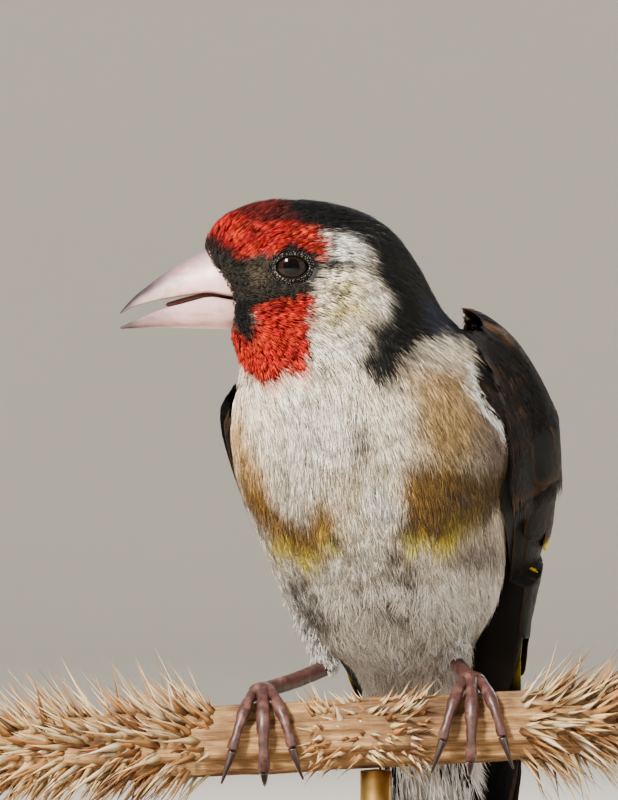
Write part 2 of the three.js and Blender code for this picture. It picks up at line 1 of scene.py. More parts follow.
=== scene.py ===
import math

import bmesh
import bpy
import numpy as np
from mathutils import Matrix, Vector


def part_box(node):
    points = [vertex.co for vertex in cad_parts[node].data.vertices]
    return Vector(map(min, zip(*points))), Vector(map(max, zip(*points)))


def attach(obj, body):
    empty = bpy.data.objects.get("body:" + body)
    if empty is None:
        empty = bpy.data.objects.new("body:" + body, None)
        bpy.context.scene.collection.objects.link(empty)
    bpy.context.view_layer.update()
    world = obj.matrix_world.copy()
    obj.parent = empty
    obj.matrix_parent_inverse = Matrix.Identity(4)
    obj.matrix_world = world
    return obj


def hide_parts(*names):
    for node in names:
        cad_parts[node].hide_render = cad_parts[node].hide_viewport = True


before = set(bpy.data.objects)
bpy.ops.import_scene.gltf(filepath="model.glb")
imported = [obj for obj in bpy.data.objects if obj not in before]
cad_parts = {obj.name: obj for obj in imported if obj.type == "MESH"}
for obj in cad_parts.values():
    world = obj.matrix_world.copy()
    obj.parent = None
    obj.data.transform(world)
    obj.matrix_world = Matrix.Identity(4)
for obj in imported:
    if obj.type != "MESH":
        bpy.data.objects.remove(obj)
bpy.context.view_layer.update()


# The stand: a turned disc of dark stained wood, a brass rod that rises from a hole in it to the stem, and a
# brass collar where the two meet. The wood is waxed and its edge is rounded.
BASE_RADIUS, BASE_HEIGHT = 0.054, 0.008
EDGE_ROUND = 0.0032
ROD_RADIUS, ROD_AT_X = 0.0018, 0.003


def linear(r, g, b):
    """A colour measured from 0 to 255, as Blender's shaders want it."""
    out = []
    for c in (r, g, b):
        c /= 255
        out.append(c / 12.92 if c <= 0.04045 else ((c + 0.055) / 1.055) ** 2.4)
    return (*out, 1.0)


def material(name, roughness=0.6, **sockets):
    made = bpy.data.materials.new(name)
    made.use_nodes = True
    shader = made.node_tree.nodes["Principled BSDF"]
    shader.inputs["Roughness"].default_value = roughness
    for socket, value in sockets.items():
        shader.inputs[socket.replace("_", " ")].default_value = value
    return made, made.node_tree, shader


def node(tree, kind, **settings):
    made = tree.nodes.new("ShaderNode" + kind)
    for key, value in settings.items():
        if key in made.inputs:
            made.inputs[key].default_value = value
        else:
            setattr(made, key, value)
    return made


def ramp(tree, source, *stops):
    made = tree.nodes.new("ShaderNodeValToRGB")
    tree.links.new(source, made.inputs["Fac"])
    elements = made.color_ramp.elements
    while len(elements) < len(stops):
        elements.new(0.5)
    for element, (at, colour) in zip(elements, stops):
        element.position = at
        element.color = colour
    return made.outputs["Color"]


def grey(value):
    return (value,) * 3 + (1,)


def grained(tree, stretch=(1, 1, 1), **settings):
    """Noise over the object's own place, stretched along its axes, as a factor from 0 to 1."""
    place = node(tree, "TexCoord").outputs["Object"]
    mapping = node(tree, "Mapping", Scale=stretch)
    made = node(tree, "TexNoise", **settings)
    tree.links.new(place, mapping.inputs["Vector"])
    tree.links.new(mapping.outputs["Vector"], made.inputs["Vector"])
    return made.outputs["Fac"]


def bump(tree, shader, height, strength, distance):
    made = node(tree, "Bump", Strength=strength, Distance=distance)
    tree.links.new(height, made.inputs["Height"])
    tree.links.new(made.outputs["Normal"], shader.inputs["Normal"])
    return made


def turned(name, profile, steps, centre=(0, 0)):
    """A piece turned on a lathe from its half profile."""
    bm = bmesh.new()
    points = [bm.verts.new((r, 0, z)) for r, z in profile]
    edges = [bm.edges.new(pair) for pair in zip(points, points[1:])]
    bmesh.ops.spin(
        bm, geom=points + edges, cent=(
            0, 0, 0
        ), axis=(0, 0, 1), angle=2 * math.pi, steps=steps, use_merge=True
    )
    bmesh.ops.remove_doubles(bm, verts=bm.verts, dist=1e-7)
    bmesh.ops.recalc_face_normals(bm, faces=bm.faces)
    bmesh.ops.translate(bm, verts=bm.verts, vec=(*centre, 0))
    return finished(name, bm)


def finished(name, bm, smooth=True):
    mesh = bpy.data.meshes.new(name)
    bm.to_mesh(mesh)
    bm.free()
    for face in mesh.polygons:
        face.use_smooth = smooth
    made = bpy.data.objects.new(name, mesh)
    bpy.context.scene.collection.objects.link(made)
    return made


def placed(piece, finish, slot, *replaced):
    """Gives a piece its material and its place on the one body. The slot is not used."""
    piece.data.materials.append(finish)
    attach(piece, "root")
    if replaced:
        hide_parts(*replaced)
    return piece


AXIS = 1e-6
r, h = BASE_RADIUS, BASE_HEIGHT
hole_radius, hole_floor = 0.0021, h - 0.005
inner, low = r - EDGE_ROUND, h - EDGE_ROUND
base_profile = [
    (AXIS, hole_floor), (hole_radius, hole_floor), (hole_radius, h - 0.0004), (0.0022, h), (0.01, h)
]
for i in range(9):
    turn = math.pi / 2 * i / 8
    base_profile.append((inner + EDGE_ROUND * math.sin(turn), low + EDGE_ROUND * math.cos(turn)))
base_profile += [(r, 0.0016), (r - 0.0003, 0.0006), (r - 0.001, 0), (0.02, 0), (AXIS, 0)]
stand_base = turned("stand_base_wood", base_profile, 128)
wood, tree, shader = material("waxed_dark_wood", 0.34, Coat_Weight=0.25, Coat_Roughness=0.22)
grain = grained(tree, (160, 26, 160), Scale=1.0, Detail=7.0, Roughness=0.62, Distortion=0.5)
browns = ramp(tree, grain, (0.3, linear(46, 27, 17)), (0.5, linear(86, 53, 32)), (0.72, linear(112, 72, 43)))
tree.links.new(browns, shader.inputs["Base Color"])
bump(tree, shader, grain, 0.35, 0.0003)
placed(stand_base, wood, "stand_wood", "stand_base")

rod_foot, rod_top = 0.0033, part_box("stand_rod")[1][2]
rod_profile = [(AXIS, rod_foot)]
rod_profile += [(ROD_RADIUS, z) for z in (rod_foot, 0.02, rod_top - 0.0002)] + [(AXIS, rod_top)]
rod = turned("stand_rod_brass", rod_profile, 48, (ROD_AT_X, 0))
brass, tree, shader = material("satin_brass", 0.3, Metallic=1.0)
cloud = grained(tree, Scale=260.0, Detail=5.0)
brass_tones = ramp(tree, cloud, (0.35, linear(168, 126, 62)), (0.7, linear(214, 176, 104)))
tree.links.new(brass_tones, shader.inputs["Base Color"])
tree.links.new(ramp(tree, cloud, (0.3, grey(0.24)), (0.75, grey(0.42))), shader.inputs["Roughness"])
placed(rod, brass, "stand_brass", "stand_rod")
# The collar's half profile as radius and height over the base, in tenths of a millimetre.
COLLAR = [(21, 3), (42, 3), (42, 17), (40, 22), (35, 25), (26, 26), (21, 25), (21, 3)]
collar_profile = [(across * 1e-4, h + up * 1e-4) for across, up in COLLAR]
collar = turned("stand_collar_brass", collar_profile, 48, (ROD_AT_X, 0))
placed(collar, brass, "stand_brass", "stand_collar")


# The perch: a cut length of dry thistle stem, ribbed and woody, set with papery bracts that end in spines.
# It slopes a little. From here on sizes are in millimetres from the top of the stem under the bird.
PERCH_TOP = 45.0
PERCH_LENGTH, PERCH_RADIUS, PERCH_SLOPE = 92.0, 4.2, math.radians(3)
draw = np.random.default_rng(11)


def rgb(*values):
    return np.array(linear(*values)[:3])


def multiplied(tree, first, second):
    """The product of two colours in a material."""
    made = node(tree, "Mix", data_type="RGBA", blend_type="MULTIPLY")
    made.inputs[0].default_value = 1.0
    tree.links.new(first, made.inputs[6])
    tree.links.new(second, made.inputs[7])
    return made.outputs[2]


def metres(points):
    return (np.asarray(points, float) + (0, 0, PERCH_TOP)) / 1000


def unit(v):
    return v / np.maximum(np.linalg.norm(v, axis=-1, keepdims=True), 1e-12)


def noise(points, scale, seed=0):
    """Smooth noise from -1 to 1 at points in mm, for features of about this size."""
    p = np.asarray(points, float) / scale + seed * 17.31
    cell = np.floor(p).astype(np.int64)
    f = p - cell
    f = f * f * (3 - 2 * f)
    total = 0
    for corner in np.ndindex(2, 2, 2):
        c = cell + corner
        n = (
            (c[..., 0] * 374761393 + c[..., 1] * 668265263 + c[..., 2] * 2147483647 + seed * 1274126177)
            & 0xFFFFFFFF
        )
        n = ((n ^ (n >> 13)) * 1103515245) & 0xFFFFFFFF
        value = ((n ^ (n >> 16)) & 0xFFFF) / 32767.5 - 1
        weight = np.prod(np.where(np.array(corner) == 1, f, 1 - f), axis=-1)
        total = total + weight * value
    return total


def perch_axis(x):
    x = np.asarray(x, float)
    return np.stack([x, np.zeros_like(x), -PERCH_RADIUS + x * math.tan(PERCH_SLOPE)], -1)


def tube(name, around, along, place):
    """A closed tube. place(t, angle) gives points for t from 0 to 1 along it, and draws in its ends."""
    bm = bmesh.new()
    bmesh.ops.create_grid(bm, x_segments=around, y_segments=along, size=0.5)
    uv = bm.loops.layers.uv.new("along")
    for face in bm.faces:
        for loop in face.loops:
            loop[uv].uv = (loop.vert.co.x + 0.5, loop.vert.co.y + 0.5)
    flat = np.array([v.co for v in bm.verts])
    moved = metres(place(flat[:, 1] + 0.5, (flat[:, 0] + 0.5) * 2 * math.pi))
    for v, co in zip(bm.verts, moved):
        v.co = co
    bmesh.ops.remove_doubles(bm, verts=bm.verts, dist=2e-7)
    bmesh.ops.dissolve_degenerate(bm, edges=bm.edges, dist=1e-7)
    rims = [e for e in bm.edges if e.is_boundary]
    bmesh.ops.holes_fill(bm, edges=rims)
    bmesh.ops.recalc_face_normals(bm, faces=bm.faces)
    return finished(name, bm)


def stem_shape(t, angle):
    x = (t - 0.5) * PERCH_LENGTH
    rib = 0.5 + 0.5 * np.cos(9 * angle + 0.25 * np.sin(x * 0.12))
    cut = np.clip((0.5 - np.abs(t - 0.5)) / 0.004, 0, 1)
    r = PERCH_RADIUS * (0.9 + 0.1 * rib ** 1.4) * np.where(cut < 1, 0.9 + 0.1 * cut, 1)
    r = np.where((t < 1e-4) | (t > 1 - 1e-4), 0.02, r)
    ring = np.stack([x * 0, np.cos(angle) * r, np.sin(angle) * r], -1)
    made = perch_axis(x) + ring
    rough = noise(made * (0.25, 1, 1), 0.9, 3)[:, None] * 0.09 + noise(made, 4, 4)[:, None] * 0.12
    return made + unit(ring) * np.where(r[:, None] > 1, rough - 0.1, 0)


stem = tube("perch_stem_bark", 112, 120, stem_shape)
straw, tree, shader = material("dry_stem_bark", 0.72)
fibre = grained(tree, (240, 2600, 2600), Scale=1.0, Detail=8.0, Roughness=0.66)
blotch = grained(tree, Scale=170.0, Detail=4.0)
straws = ramp(
    tree, fibre, (0.3, linear(88, 60, 34)), (0.5, linear(156, 118, 74)), (0.7, linear(206, 176, 128))
)
stains = ramp(tree, blotch, (0.35, linear(150, 130, 110)), (0.6, linear(255, 250, 240)))
tree.links.new(multiplied(tree, straws, stains), shader.inputs["Base Color"])
bump(tree, shader, fibre, 0.7, 0.00025)
placed(stem, straw, "dry_stem", "perch_stem")


def blades(name, paths, widths, thickness, colours, patches, facing):
    """Many thin blades as one mesh, each three-sided, closed at its root and tapered to a point.
    paths is (n, k, 3) in mm, widths (n, k - 1), colours (n, k, 3), patches (n, 2) and facing (n, 3)."""
    n, k = paths.shape[:2]
    along = unit(np.gradient(paths, axis=1))
    side = unit(np.cross(along, facing[:, None, :]))
    top = np.cross(side, along)
    w = widths[..., None] / 2
    body = paths[:, :-1]
    left = body - side[:, :-1] * w
    right = body + side[:, :-1] * w
    ridge = body + top[:, :-1] * w * 2 * thickness
    rings = np.stack([left, right, ridge], 2).reshape(n, (k - 1) * 3, 3)
    verts = np.concatenate([rings, paths[:, -1:]], 1)
    per = verts.shape[1]
    faces = [(0, 2, 1)]
    for s in range(k - 2):
        a, b = 3 * s, 3 * s + 3
        for i, j in ((0, 1), (1, 2), (2, 0)):
            faces += [(a + i, a + j, b + j), (a + i, b + j, b + i)]
    a, tip = 3 * (k - 2), per - 1
    faces += [(a, a + 1, tip), (a + 1, a + 2, tip), (a + 2, a, tip)]
    faces = np.array(faces)
    loops = (faces[None] + (np.arange(n) * per)[:, None, None]).reshape(-1)
    mesh = bpy.data.meshes.new(name)
    mesh.vertices.add(n * per)
    mesh.vertices.foreach_set("co", metres(verts.reshape(-1, 3)).astype(np.float32).ravel())
    mesh.loops.add(len(loops))
    mesh.loops.foreach_set("vertex_index", loops.astype(np.int32))
    total = len(loops) // 3
    mesh.polygons.add(total)
    mesh.polygons.foreach_set("loop_start", (np.arange(total) * 3).astype(np.int32))
    mesh.polygons.foreach_set("loop_total", np.full(total, 3, np.int32))
    mesh.update(calc_edges=True)
    mesh.validate()
    ring_of = np.minimum(np.arange(per) // 3, k - 1)
    painted = np.ones((n, per, 4), np.float32)
    painted[..., :3] = colours[:, ring_of]
    mesh.color_attributes.new("plumage", "FLOAT_COLOR", "POINT")
    mesh.color_attributes["plumage"].data.foreach_set("color", painted.ravel())
    across = np.array([(-0.5, 0.5, 0.0)[i % 3] for i in range(per - 1)] + [0.0])
    local = np.stack([across, ring_of / (k - 1) - 0.5], -1) * 0.003
    uv = (np.clip(patches, 0.003, 0.997)[:, None, :] + local[None]).reshape(-1, 2)
    layer = mesh.uv_layers.new(name="OFBake")
    layer.data.foreach_set("uv", uv[loops].astype(np.float32).ravel())
    made = bpy.data.objects.new(name, mesh)
    bpy.context.scene.collection.objects.link(made)
    return made


def painted_material(name, roughness, fine=9000.0, contrast=0.16, **sockets):
    """A finish that reads its colour from the piece's own attribute, with a fine break-up."""
    made, tree, shader = material(name, roughness, **sockets)
    own = node(tree, "VertexColor", layer_name="plumage").outputs["Color"]
    speck = grained(tree, Scale=fine, Detail=2.0)
    breaks = ramp(tree, speck, (0.3, grey(1 - contrast)), (0.7, grey(1 + contrast)))
    tree.links.new(multiplied(tree, own, breaks), shader.inputs["Base Color"])
    return made


# Bracts stand all round the stem, shorter under the bird, with none at the feet, the belly or the rod.
BRACTS = 2600
x = draw.uniform(-45, 45, BRACTS)
angle = draw.uniform(0, 2 * math.pi, BRACTS)
top = np.sin(angle)
front = np.cos(angle) < 0
FEET = {"right": -10.0, "left": 14.0}
clear_feet = np.min([np.abs(x - foot_x) for foot_x in FEET.values()], axis=0) > 5.4
clear_rod = (np.abs(x - 1000 * ROD_AT_X) > 2.6) | (top > -0.8)
under_bird = (x > -6) & (x < 10)
keep = clear_feet & clear_rod & (~under_bird | front | (top > 0.3))
x, angle, top = x[keep], angle[keep], top[keep]
n = len(x)
out = np.stack([x * 0, np.cos(angle), np.sin(angle)], -1)
lean = np.where(x < 2, -1.0, 1.0) * draw.uniform(0.5, 1.5, n)
root = perch_axis(x) + out * (PERCH_RADIUS - 0.7)
way = unit(out + np.stack([lean, x * 0, x * 0], -1) + draw.normal(0, 0.16, (n, 3)))
under_bird = (x > -6) & (x < 10)
length = draw.uniform(2.2, 7.5, n) * np.where(under_bird, 0.42, 1.0) * np.where(np.abs(x) > 38, 0.85, 1)
curl = unit(out + draw.normal(0, 0.3, (n, 3)))
t = np.array([0, 0.28, 0.6, 1.0])
gone = (length[:, None] * t)[..., None]
bract_paths = (
    root[:, None] + way[:, None] * gone + curl[:, None] * (length[:, None] * 0.22 * t ** 2)[..., None]
)
bract_widths = draw.uniform(0.5, 1.25, (n, 1)) * np.array([1.0, 0.8, 0.32])
straw_tones = np.array([rgb(212, 180, 130), rgb(176, 124, 70), rgb(228, 206, 168), rgb(120, 78, 42)])
own = straw_tones[draw.choice(4, n, p=(0.35, 0.3, 0.2, 0.15))] * draw.uniform(0.75, 1.15, (n, 1))
fade = np.array([0.45, 0.8, 1.0, 0.6])
bract_tints = own[:, None] * fade[None, :, None]
unwrapped = np.stack([(x + PERCH_LENGTH / 2) / PERCH_LENGTH, angle / (2 * math.pi)], -1)
bracts = blades("perch_bracts", bract_paths, bract_widths, 0.35, bract_tints, unwrapped, out)
placed(bracts, painted_material("dry_bract", 0.6), "dry_stem")


# The body under the feathers: one closed skin over the head, neck and torso, drawn from the same rounded
# masses as the solids and sunk inside them by the depth of the coat. Its markings are the feathers' own.
PITCH, YAW = math.radians(50), math.radians(14)
LEFTWARD = np.array([math.cos(YAW), -math.sin(YAW), 0])
TAILWARD = np.array([math.sin(YAW) * math.cos(PITCH), math.cos(YAW) * math.cos(PITCH), -math.sin(PITCH)])
DORSAL = np.cross(LEFTWARD, TAILWARD)
BODY_AT = np.array([3.2, 1.5, 24.0])
HEAD_AT = np.array([-4.5, -9.0, 48.0])
BODY_AXES = np.stack([LEFTWARD, TAILWARD, DORSAL])
UPRIGHT = np.eye(3)
HEAD_MASSES = [
    (UPRIGHT, HEAD_AT, (2.2, 0, -0.8), (9.3, 7.7, 8.8)),
    (UPRIGHT, HEAD_AT, (-4.6, 0, 2.8), (7.3, 6.7, 5.5)),
    (UPRIGHT, HEAD_AT, (-3.5, 0, -4.4), (5.2, 6.3, 4.9)),
    (UPRIGHT, HEAD_AT, (4.8, 0, -3.6), (7.2, 7.8, 6.5)),
]
NECK_MASSES = [
    (UPRIGHT, np.zeros(3), (1.4, -8.0, 36.4), (10.2, 10.2, 8.6)),
    (UPRIGHT, np.zeros(3), (7.0, -4.6, 31.5), (10.8, 9.6, 9.0)),
]
TORSO_MASSES = [
    (BODY_AXES, BODY_AT, (0, -7.0, -0.6), (15.1, 21.0, 14.6)),
    (BODY_AXES, BODY_AT, (0, 8.0, -0.8), (13.3, 16.0, 11.2)),
    (BODY_AXES, BODY_AT, (0, 22.0, 0.4), (6.6, 16.0, 5.6)),
]
WING_REST = (BODY_AXES, BODY_AT, (0, 10, -0.8), (11.5, 54, 4))


def on_body(x, y, z):
    x, y, z = np.broadcast_arrays(np.asarray(x, float), np.asarray(y, float), np.asarray(z, float))
    return BODY_AT + x[..., None] * LEFTWARD + y[..., None] * TAILWARD + z[..., None] * DORSAL


def melted(masses, points):
    """Rough distance from several rounded masses melted into one, as in the solids."""
    melt = 4.2
    value = None
    for axes, origin, centre, radii in masses:
        q = (points - origin) @ axes.T - centre
        k0 = np.linalg.norm(q / radii, axis=-1)
        k1 = np.maximum(np.linalg.norm(q / np.square(radii), axis=-1), 1e-9)
        d = k0 * (k0 - 1) / k1
        if value is None:
            value = d
        else:
            h = np.maximum(melt - np.abs(value - d), 0) / melt
            value = np.minimum(value, d) - h * h * melt / 4
    return value


def body_field(points):
    return melted(TORSO_MASSES + NECK_MASSES + HEAD_MASSES, points)


def rest_field(points):
    return melted(TORSO_MASSES + [WING_REST], points)


def slope(field, points):
    step = 0.05
    return unit(np.stack([field(points + step * e) - field(points - step * e) for e in np.eye(3)], -1))


def reach(field, origin, direction, level, furthest):
    """How far along each direction the field first rises to a level."""
    inside = np.zeros(len(direction))
    found = np.zeros(len(direction), bool)
    for d in np.arange(0.5, furthest, 0.5):
        risen = field(origin + direction * d) - level > 0
        inside = np.where(~found & ~risen, d, inside)
        found |= risen
    low, high = inside, inside + 0.5
    for _ in range(12):
        middle = (low + high) / 2
        over = field(origin + direction * middle[:, None]) - level > 0
        high = np.where(over, middle, high)
        low = np.where(over, low, middle)
    return (low + high) / 2


def curve_and_way(knots, t):
    """Points of a smooth line through knots at t from 0 to 1, and its direction there."""
    knots = np.asarray(knots, float)
    ends = np.vstack([2 * knots[0] - knots[1], knots, 2 * knots[-1] - knots[-2]])
    s = np.clip(t, 0, 0.99999) * (len(knots) - 1)
    i = s.astype(int)
    f = (s - i)[:, None]
    a, b, c, d = ends[i], ends[i + 1], ends[i + 2], ends[i + 3]
    bend, twist = 2 * a - 5 * b + 4 * c - d, 3 * b - a - 3 * c + d
    point = 0.5 * (2 * b + (c - a) * f + bend * f ** 2 + twist * f ** 3)
    return point, unit(0.5 * ((c - a) + 2 * bend * f + 3 * twist * f ** 2))


NAPE_AT, HEAD_END = np.array([1.6, -7.4, 38]), HEAD_AT + (0.8, 0.4, -1.5)
spine = np.stack([on_body(0, 36, 0.2), on_body(0, 14, -0.6), on_body(0, -5, 0), NAPE_AT, HEAD_END])


def on_skin(along, around, depth):
    """Points of the skin for along from -1 at the tail to 1 at the crown, and around in radians."""
    t = np.clip((along + 0.72) / 1.02, 0, 1)
    tilt = math.pi / 2 * along * np.abs(along) ** 0.6
    origin, way = curve_and_way(spine, t)
    out = unit(np.cross(LEFTWARD, way))
    sideways = np.cross(way, out)
    round_it = sideways * np.cos(around)[:, None] + out * np.sin(around)[:, None]
    direction = way * np.sin(tilt)[:, None] + round_it * np.cos(tilt)[:, None]
    return origin + direction * reach(body_field, origin, direction, depth, 26)[:, None]


def headness(points):
    """1 on the head, falling to 0 down the neck."""
    return np.clip((points[:, 2] - 36 - 0.25 * (points[:, 0] + 4)) / 6, 0, 1)


def coat_depth(points):
    return 1.0 - 0.65 * headness(points)


# Markings, read both by the skin and by every feather. Outlines of patches are drawn as the camera sees
# them, across and down in steps of 1/8.8 mm, with soft borders, and hold on both sides of the head.
STEPS = 8.8
ACROSS_ZERO, DOWN_ZERO = 350, 700


def seen(points):
    return np.stack([ACROSS_ZERO + STEPS * points[:, 0], DOWN_ZERO - STEPS * points[:, 2]], -1)


def patch(places, outline, soft):
    """How far places lie inside a closed outline: 1 inside, 0 outside, soft at the border."""
    ring = np.array(outline, float)
    ends = np.roll(ring, -1, axis=0)
    nearest = np.full(len(places), 1e9)
    inside = np.zeros(len(places), bool)
    for a, b in zip(ring, ends):
        ab, ap = b - a, places - a
        s = np.clip(ap @ ab / (ab @ ab), 0, 1)
        nearest = np.minimum(nearest, np.linalg.norm(ap - s[:, None] * ab, axis=1))
        crosses = (a[1] > places[:, 1]) != (b[1] > places[:, 1])
        at = (b[0] - a[0]) * (places[:, 1] - a[1]) / ((b[1] - a[1]) or 1e-9) + a[0]
        inside ^= crosses & (places[:, 0] < at)
    signed = np.where(inside, nearest, -nearest)
    return np.clip(signed / soft + 0.5, 0, 1)


def spot(places, centre, radii):
    return np.clip(1.4 - np.linalg.norm((places - centre) / radii, axis=1), 0, 1)


# Partings between clumps of feathers, each a place across and down with its width and height. They are dark
# with the grey bases of the feathers and with painted shade in the gaps.
PARTINGS = [
    (362, 448, 9, 14), (395, 562, 8, 14), (412, 581, 10, 12), (300, 598, 9, 18), (318, 622, 14, 14),
    (402, 625, 14, 9), (380, 366, 9, 6), (336, 350, 13, 2.4), (362, 341, 10, 2.4), (374, 335, 8, 2.4),
    (322, 378, 9, 4), (342, 262, 14, 4), (384, 286, 6, 9), (338, 298, 14, 2), (352, 304, 12, 2)
]
FACE_RED_ABOVE = [
    (196, 246), (196, 190), (287, 190), (286, 206), (300, 215), (302, 223), (321, 226), (330, 242),
    (334, 256), (328, 262), (314, 256), (305, 251), (294, 248), (283, 250), (272, 255), (262, 252),
    (250, 257), (238, 260), (231, 256), (222, 250), (212, 250), (204, 254)
]
FACE_RED_BELOW = [
    (258, 303), (282, 300), (296, 297), (309, 291), (316, 301), (318, 318), (312, 330), (315, 343),
    (313, 358), (313, 380), (300, 380), (293, 370), (289, 384), (278, 388), (270, 393), (258, 388),
    (249, 378), (240, 368), (226, 340), (220, 326), (240, 330), (256, 326)
]
LORES = [
    (204, 233), (224, 238), (234, 248), (246, 255), (262, 251), (274, 253), (285, 246), (300, 244),
    (316, 250), (328, 260), (340, 266), (326, 274), (319, 282), (311, 292), (298, 301), (281, 304),
    (263, 308), (254, 312), (236, 310), (224, 300), (218, 280), (200, 258)
]
CHIN_NOTCH = [(226, 300), (256, 300), (258, 316), (254, 328), (262, 340), (254, 344), (240, 332), (222, 330)]
CROWN_BAND = [
    (279, 190), (279, 204), (294, 215), (304, 227), (322, 229), (338, 230), (350, 238), (366, 245),
    (376, 256), (380, 264), (372, 270), (380, 280), (388, 290), (396, 299), (389, 308), (391, 318),
    (383, 327), (376, 336), (372, 346), (364, 354), (358, 364), (363, 376), (370, 389), (382, 398),
    (396, 393), (408, 378), (420, 362), (430, 350), (433, 334), (431, 318), (432, 302), (436, 286),
    (470, 286), (470, 190)
]
HIND_NECK = [(420, 276), (480, 266), (540, 330), (470, 350), (455, 336), (446, 342), (436, 350), (418, 330)]
SHOULDER_BROWN = [
    (404, 372), (424, 352), (446, 336), (456, 345), (458, 372), (480, 400), (500, 420), (516, 450),
    (520, 480), (500, 470), (480, 450), (462, 462), (440, 462), (420, 440), (412, 410)
]
BREAST_RIGHT = [
    (402, 476), (414, 468), (436, 470), (452, 462), (476, 474), (500, 470), (540, 480), (540, 520),
    (500, 520), (474, 534), (462, 543), (440, 548), (420, 543), (404, 540), (388, 534), (402, 526),
    (406, 518), (398, 506), (402, 492)
]
BREAST_LEFT = [
    (245, 490), (262, 488), (272, 506), (286, 517), (302, 523), (308, 528), (318, 512), (326, 508),
    (330, 522), (339, 536), (332, 545), (322, 558), (310, 562), (298, 560), (284, 550), (268, 536),
    (255, 520), (240, 500)
]
SIDE_LEFT = [(225, 410), (246, 418), (252, 450), (262, 474), (276, 500), (270, 510), (240, 500), (220, 450)]
WEDGE_WHITE = [(366, 488), (378, 492), (396, 508), (406, 520), (392, 528), (378, 534), (366, 520)]

WING_BEND = [
    (453, 352), (456, 372), (464, 389), (480, 405), (499, 424), (508, 444), (512, 478), (560, 478),
    (560, 380), (520, 322), (480, 318), (466, 332), (456, 342)
]
BEND_WHITE = [
    (451, 352), (454, 374), (463, 391), (478, 407), (498, 427), (505, 432), (506, 428), (489, 407),
    (475, 391), (466, 375), (461, 356), (456, 350)
]

SCARLET, ORANGE_RED, DARK_RED = rgb(176, 10, 11), rgb(210, 54, 16), rgb(66, 6, 8)
BLACK, BROWN_BLACK, BLUE_BLACK = rgb(7, 6, 7), rgb(13, 9, 7), rgb(26, 27, 36)
CREAM, WHITE, GREY_WHITE = rgb(246, 232, 208), rgb(254, 252, 248), rgb(236, 229, 218)
EAR_BUFF, OCHRE, TAN = rgb(200, 182, 60), rgb(128, 90, 8), rgb(208, 174, 126)
# The darker ochre is painted shade, for the ochre patch on the side of the breast turned from the light.
SHADED_OCHRE, YELLOW, MANTLE = rgb(86, 62, 2), rgb(252, 226, 6), rgb(108, 74, 44)
SLATE, DOWN = rgb(70, 72, 84), rgb(40, 44, 56)
# The nape colour is painted shade: the grey-brown hindneck as it looks dark and bluish in shade.
GOLD, LILAC_GREY, SHADED_NAPE = rgb(150, 118, 54), rgb(92, 82, 82), rgb(36, 40, 62)


def over(base, colour, share):
    return base + (colour - base) * share[:, None]


def plain(colour, count):
    return np.tile(colour, (count, 1))


def on_bend(points):
    """Whether points of the left shoulder belong to the bend of the wing, and to its white edge."""
    places = seen(points) + np.stack([noise(points, 0.9, 49), noise(points, 0.9, 50)], -1) * 2
    beside = (points[:, 0] > 9) & (slope(body_field, points)[:, 1] < 0.1)
    return beside & (patch(places, WING_BEND, 1) > 0.5), beside & (patch(places, BEND_WHITE, 1) > 0.5)


